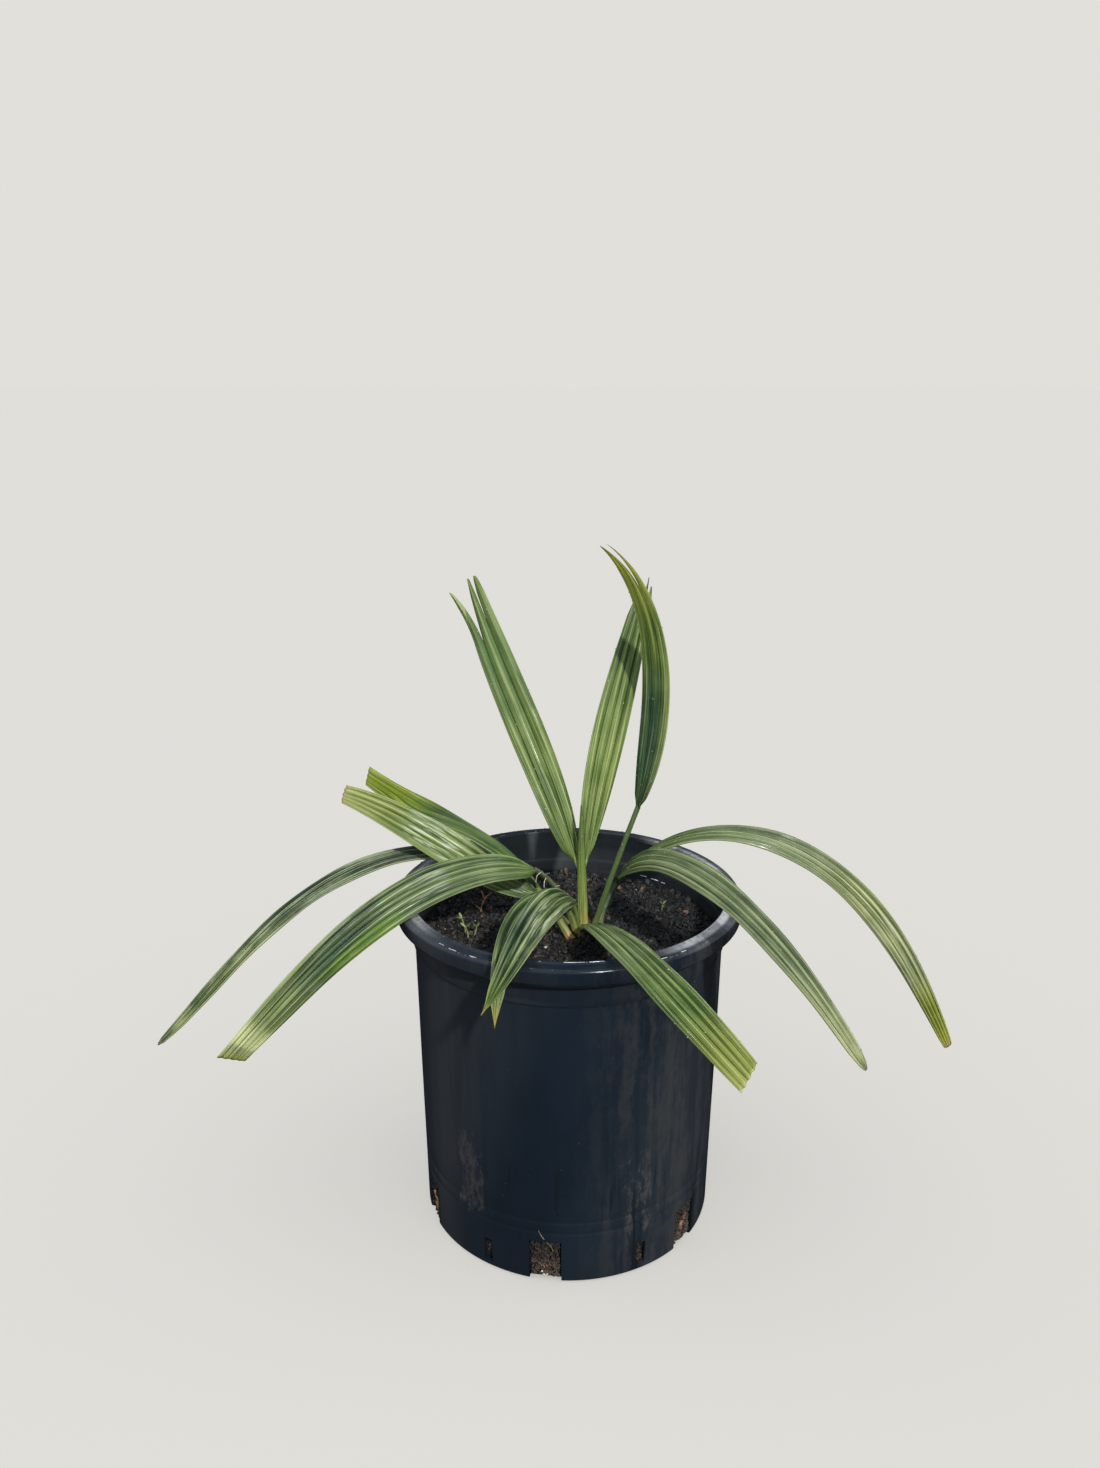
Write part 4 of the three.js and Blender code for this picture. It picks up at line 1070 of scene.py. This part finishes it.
def lumps(x, y):
    """Height of the loose surface above its level, smooth at the wall and heaped round the crown."""
    rough = (
        0.9 * np.sin(x * 0.21 + 1.3) * np.cos(y * 0.17 - 0.4) + 0.6 * np.sin(x * 0.11 - y * 0.29 + 2.1)
        + 0.5 * np.sin(x * 0.83 + y * 0.41) * np.sin(y * 0.77 - x * 0.2)
        + 0.35 * np.sin(x * 1.9 + 2) * np.sin(y * 2.1))
    from_crown = np.hypot(x - CROWN[0], y - CROWN[1])
    away = np.clip((from_crown - 8) / 20, 0.15, 1)
    inside = np.clip((71.5 - np.hypot(x, y)) / 10, 0, 1)
    mound = MOUND_HEIGHT * np.exp(-(from_crown / MOUND_REACH) ** 2)
    return 0.75 * rough * away * inside + mound


def side_relief(angle, height):
    """How far the mix stands back from the wall low in the pot, where the drain openings show it."""
    coarse = 0.45 * np.sin(angle * 67 + height) * np.cos(angle * 41 - height * 1.7)
    return 0.5 + coarse + 0.3 * np.sin(angle * 131 + height * 3)


def make_soil(spokes=200):
    radii = np.concatenate([[0.01], np.linspace(1.2, 72.0, 64)])
    angle = np.linspace(0, 2 * np.pi, spokes, endpoint=False)
    x, y = radii[:, None] * np.cos(angle), radii[:, None] * np.sin(angle)
    rows = [np.stack([x, y, SOIL_TOP + lumps(x, y)], -1)]
    for height in (140.0, 120, 90, 60, 40, 28, 24, 20, 16, 12, 8, 4, 2.3):
        radius = wall_radius(height) - WALL_THICKNESS - SOIL_GAP
        radius = radius - (side_relief(angle, height) if height < 26 else 0 * angle)
        rows.append(polar(radius, angle, height)[None])
    grid = np.concatenate(rows)
    faces = [face[::-1] for face in closed_faces(len(grid), spokes)]
    mix = soil_material("mix", (12, 11, 12), (30, 28, 27), (46, 42, 38))
    soil = add_mesh("potting_mix", grid.reshape(-1, 3), faces, [mix])
    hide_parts("soil")


def on_soil(x, y, lift=0.0):
    """A point, or rows of points, with a lift over the surface."""
    return np.stack(np.broadcast_arrays(x, y, SOIL_TOP + lumps(x, y) + lift), -1)


make_soil()

for name, count, (small, large), stretch, dark, light, spot, rough, subdivisions in CRUMBS:
    sizes = small + (large - small) * rng.uniform(0, 1, count) ** 2
    radius = SOIL_REACH * np.sqrt(rng.uniform(0, 1, count))
    x, y, _ = polar(radius, rng.uniform(0, 2 * np.pi, count), 0.0).T
    material = soil_material(name, dark, light, spot, rough)
    scatter(name, on_soil(x, y, 0.3 * sizes), sizes, stretch, material, subdivisions)

# Bark, sprouts, a dead twig and dry fibres on the mix

bark = plain_material("bark", (70, 53, 43), (128, 100, 81), 420.0, (0.5, 0.8), 0.0006, 0.3)
sprout = plain_material("sprout", (84, 102, 50), (138, 150, 92), 300.0, (0.4, 0.6), 0.0002)
dead = plain_material("dead_root", (88, 60, 44), (156, 116, 90), 500.0, (0.5, 0.8), 0.0004, 0.3)
fibre = plain_material("fibre", (196, 190, 160), (232, 228, 210), 400.0, (0.5, 0.7), 0.0002, 0.3)
tan = plain_material("tan_root", (170, 112, 58), (226, 176, 112), 420.0, (0.45, 0.7), 0.0004, 0.3)

x, y, size = np.array(BARK).T
scatter("bark_chips", on_soil(x, y, 0.5), 0.75 * size, (1.5, 1.0, 0.45), bark, 2, 0.16)


def sprig(x, y, height, lean, leaves):
    """A sprout's stem and its few small leaves, as a thread and flat ovals."""
    foot = on_soil(x, y, -0.5)
    top = foot + [*lean, height]
    shapes = [thread([foot, foot * 0.6 + top * 0.4 + [0.3, 0.2, 0.5], top], 0.34, 0.24)]
    base, triangles = ball(2)
    for angle, reach, rise in leaves:
        out = unit(polar(1.0, math.radians(angle), rise))
        wide = unit(np.cross(out, [0, 0, 1.0]))
        thick = np.cross(wide, out)
        reach = 0.8 * reach
        leaf = base[:, :1] * out * reach / 2 + base[:, 1:2] * wide * reach * 0.22 + base[:, 2:] * thick * 0.14
        shapes.append((leaf + top + out * reach * 0.5, triangles.tolist()))
    return shapes


joined("sprouts", [shape for sprout_places in SPROUTS for shape in sprig(*sprout_places)], sprout)

shapes = [thread([on_soil(*point) for point in path], first, last) for path, first, last in TWIG]
for _ in range(26):
    x, y = rng.uniform(-48, 48, 2)
    turn, reach = rng.uniform(0, 6.28), rng.uniform(3, 8)
    steps = [(x + math.cos(turn) * reach * k / 3 + rng.uniform(-0.8, 0.8),
              y + math.sin(turn) * reach * k / 3 + rng.uniform(-0.8, 0.8)) for k in range(4)]
    shapes.append(thread([on_soil(a, b, 0.25) for a, b in steps], rng.uniform(0.18, 0.4), 0.12))
joined("dead_roots", shapes, dead)

shapes = []
for foot, tip in FIBRES:
    middle = (np.array(foot) + np.array(tip)) / 2 + rng.uniform(-1.1, 1.1, 3)
    shapes.append(thread([foot, middle, tip], 0.17, 0.08))
joined("fibres", shapes, fibre)

# Dry scraps of old sheaths about the crown
shapes = []
for turn in rng.uniform(0, 6.28, 16):
    x, y = CROWN[0] + rng.uniform(3, 8) * math.cos(turn), CROWN[1] - 2 + rng.uniform(3, 8) * math.sin(turn)
    lean = rng.uniform(0.5, 3.0)
    foot = on_soil(x, y, -0.4)
    tip = foot + [lean * math.cos(turn), lean * math.sin(turn), rng.uniform(1.0, 3.2)]
    shapes.append(thread([foot, (foot + tip) / 2 + [0, 0, 0.4], tip], rng.uniform(0.35, 0.7), 0.15))
joined("sheath_scraps", shapes, dead)

# Roots and mix in the drain openings


def on_side(angle, height, lift=0.0):
    """A point, or rows of points, on the side of the mix, at an angle in degrees, with a lift outward."""
    return polar(wall_radius(height) - WALL_THICKNESS - SOIL_GAP - 0.4 + lift, np.radians(angle), height)


def make_drain_roots():
    """Dark roots in every notch, and tan roots in the one at the lower left of the photograph."""
    tan_shapes, dark_shapes = [], []
    for angle in NOTCH_ANGLES:
        rooty = angle == ROOTY_NOTCH
        for k in range(7 if rooty else 5):
            turn, foot = angle + rng.uniform(-4.6, 4.6), rng.uniform(2.5, 8)
            path = []
            for step in range(5):
                aside, height = rng.uniform(-1.8, 1.8), foot + step * rng.uniform(1.5, 3.4)
                path.append(on_side(turn + aside, height, rng.uniform(0.1, 0.7)))
            path = [point for point in path if point[2] < NOTCH_HEIGHT - 1]
            if len(path) > 2:
                shape = thread(path, rng.uniform(0.2, 0.6), 0.15)
                (tan_shapes if rooty and k < 5 else dark_shapes).append(shape)
    for k, (start, height) in enumerate(THICK_ROOTS):
        path = [on_side(start + 0.7 * math.sin(k + j), height + 1.7 * j, 0.5 + 0.3 * j % 1) for j in range(4)]
        (tan_shapes if k < 3 else dark_shapes).append(thread(path, 1.1, 0.7, 8))
    joined("tan_roots", tan_shapes, tan)
    joined("drain_roots", dark_shapes, dead)


make_drain_roots()

count = 1500
angles = np.repeat(NOTCH_ANGLES, count // 6) + rng.uniform(-5.4, 5.4, count)
places = on_side(angles, rng.uniform(2.6, 20.5, count), 0.1)
places[:, :2] *= 1 + rng.uniform(0, 0.016, (count, 2))
mix_side = soil_material("drain_mix", (32, 27, 24), (80, 66, 56), (122, 106, 92), shaded=True)
scatter("drain_crumbs", places, rng.uniform(0.4, 1.2, count), (1.0, 0.8, 0.7), mix_side)
angles = np.repeat(SLOT_ANGLES, 20) + rng.uniform(-1.3, 1.3, 120)
places = on_side(angles, rng.uniform(4.5, 14.5, 120), 0.1)
scatter("slot_crumbs", places, rng.uniform(0.4, 0.9, 120), (1.0, 0.8, 0.7), mix_side)
angles, heights, sizes = np.array(GRIT).T
white = soil_material("pale_grit", (170, 160, 146), (226, 220, 208), (240, 236, 226))
scatter("drain_grit", on_side(angles, heights, 0.9), sizes, (1.2, 0.9, 0.7), white, 2)

# A green rootlet that hangs down the wall into a notch
path = [polar(wall_radius(height) + (0.25 if height > NOTCH_HEIGHT else -0.4), math.radians(angle), height)
        for angle, height in ROOTLET]
rootlet = plain_material("rootlet", (96, 94, 40), (136, 130, 66), 300.0, (0.5, 0.7), 0.0002)
joined("rootlet", [thread(path, 0.22, 0.16)], rootlet)

# Floor, light and surroundings

bpy.context.scene.view_settings.view_transform = "Standard"

floor_mesh = bpy.data.meshes.new("floor")
floor_mesh.from_pydata([(-30, -30, 0), (30, -30, 0), (30, 30, 0), (-30, 30, 0)], [], [(0, 1, 2, 3)])
floor_mesh.materials.append(new_material("floor_paper").surface({
    "Base Color": FLOOR_SHADE, "Roughness": 1.0, "Specular IOR Level": 0.0,
    "Emission Color": FLOOR_GLOW, "Emission Strength": 1.0}))
floor = placed("floor", floor_mesh)
floor.visible_glossy = False
floor.visible_diffuse = False


def make_world():
    """A plain backdrop for the camera, and a soft sky for the light, bright above and in front."""
    world = bpy.data.worlds.new("studio")
    bpy.context.scene.world = world
    tree = Tree(world)
    backdrop = tree.add("Background", {0: linear(BACKDROP)})
    _, y, z = tree.parts(tree.add("TexCoord", output="Generated"))
    sky = tree.add("Background", {0: tree.ramp(z.fit(0.5, 0.5), SKY), 1: y.rise(0.2, 0.68, 1.05, 0.06)})
    seen = tree.add("LightPath", output="Is Camera Ray")
    tree.add("OutputWorld", (tree.add("MixShader", (seen, sky, backdrop)),))


make_world()


def gathered(name, chosen):
    """A collection of the pieces whose names the test accepts, for a light's links."""
    group = bpy.data.collections.new(name)
    for piece in bpy.context.scene.objects:
        if piece.type == "MESH" and piece != floor and chosen(piece.name):
            group.objects.link(piece)
    return group


def add_sun(name, energy, spread, rotation, colour, receivers, blockers=None):
    light = bpy.data.lights.new(name, "SUN")
    light.energy = energy
    light.angle = math.radians(spread)
    light.color = colour
    lamp = placed(name, light)
    lamp.rotation_euler = tuple(math.radians(v) for v in rotation)
    lamp.light_linking.receiver_collection = receivers
    if blockers is not None:
        lamp.light_linking.blocker_collection = blockers
    return lamp


def on_pot(name):
    return name in ("pot_body", "rim_droplets", "glint_streaks")


add_sun("key", receivers=gathered("plant", lambda name: not on_pot(name)), **KEY)
add_sun("key_on_pot", receivers=gathered("pot", on_pot),
        blockers=gathered("pot_shade", lambda name: name != "blade_frond_front_right"), **KEY)

everything = gathered("lit", lambda name: True)
fill = add_sun("fill", 3.0, 40, (-66, 0, -12), (0.95, 0.98, 1.0), receivers=everything)
fill.visible_glossy = False
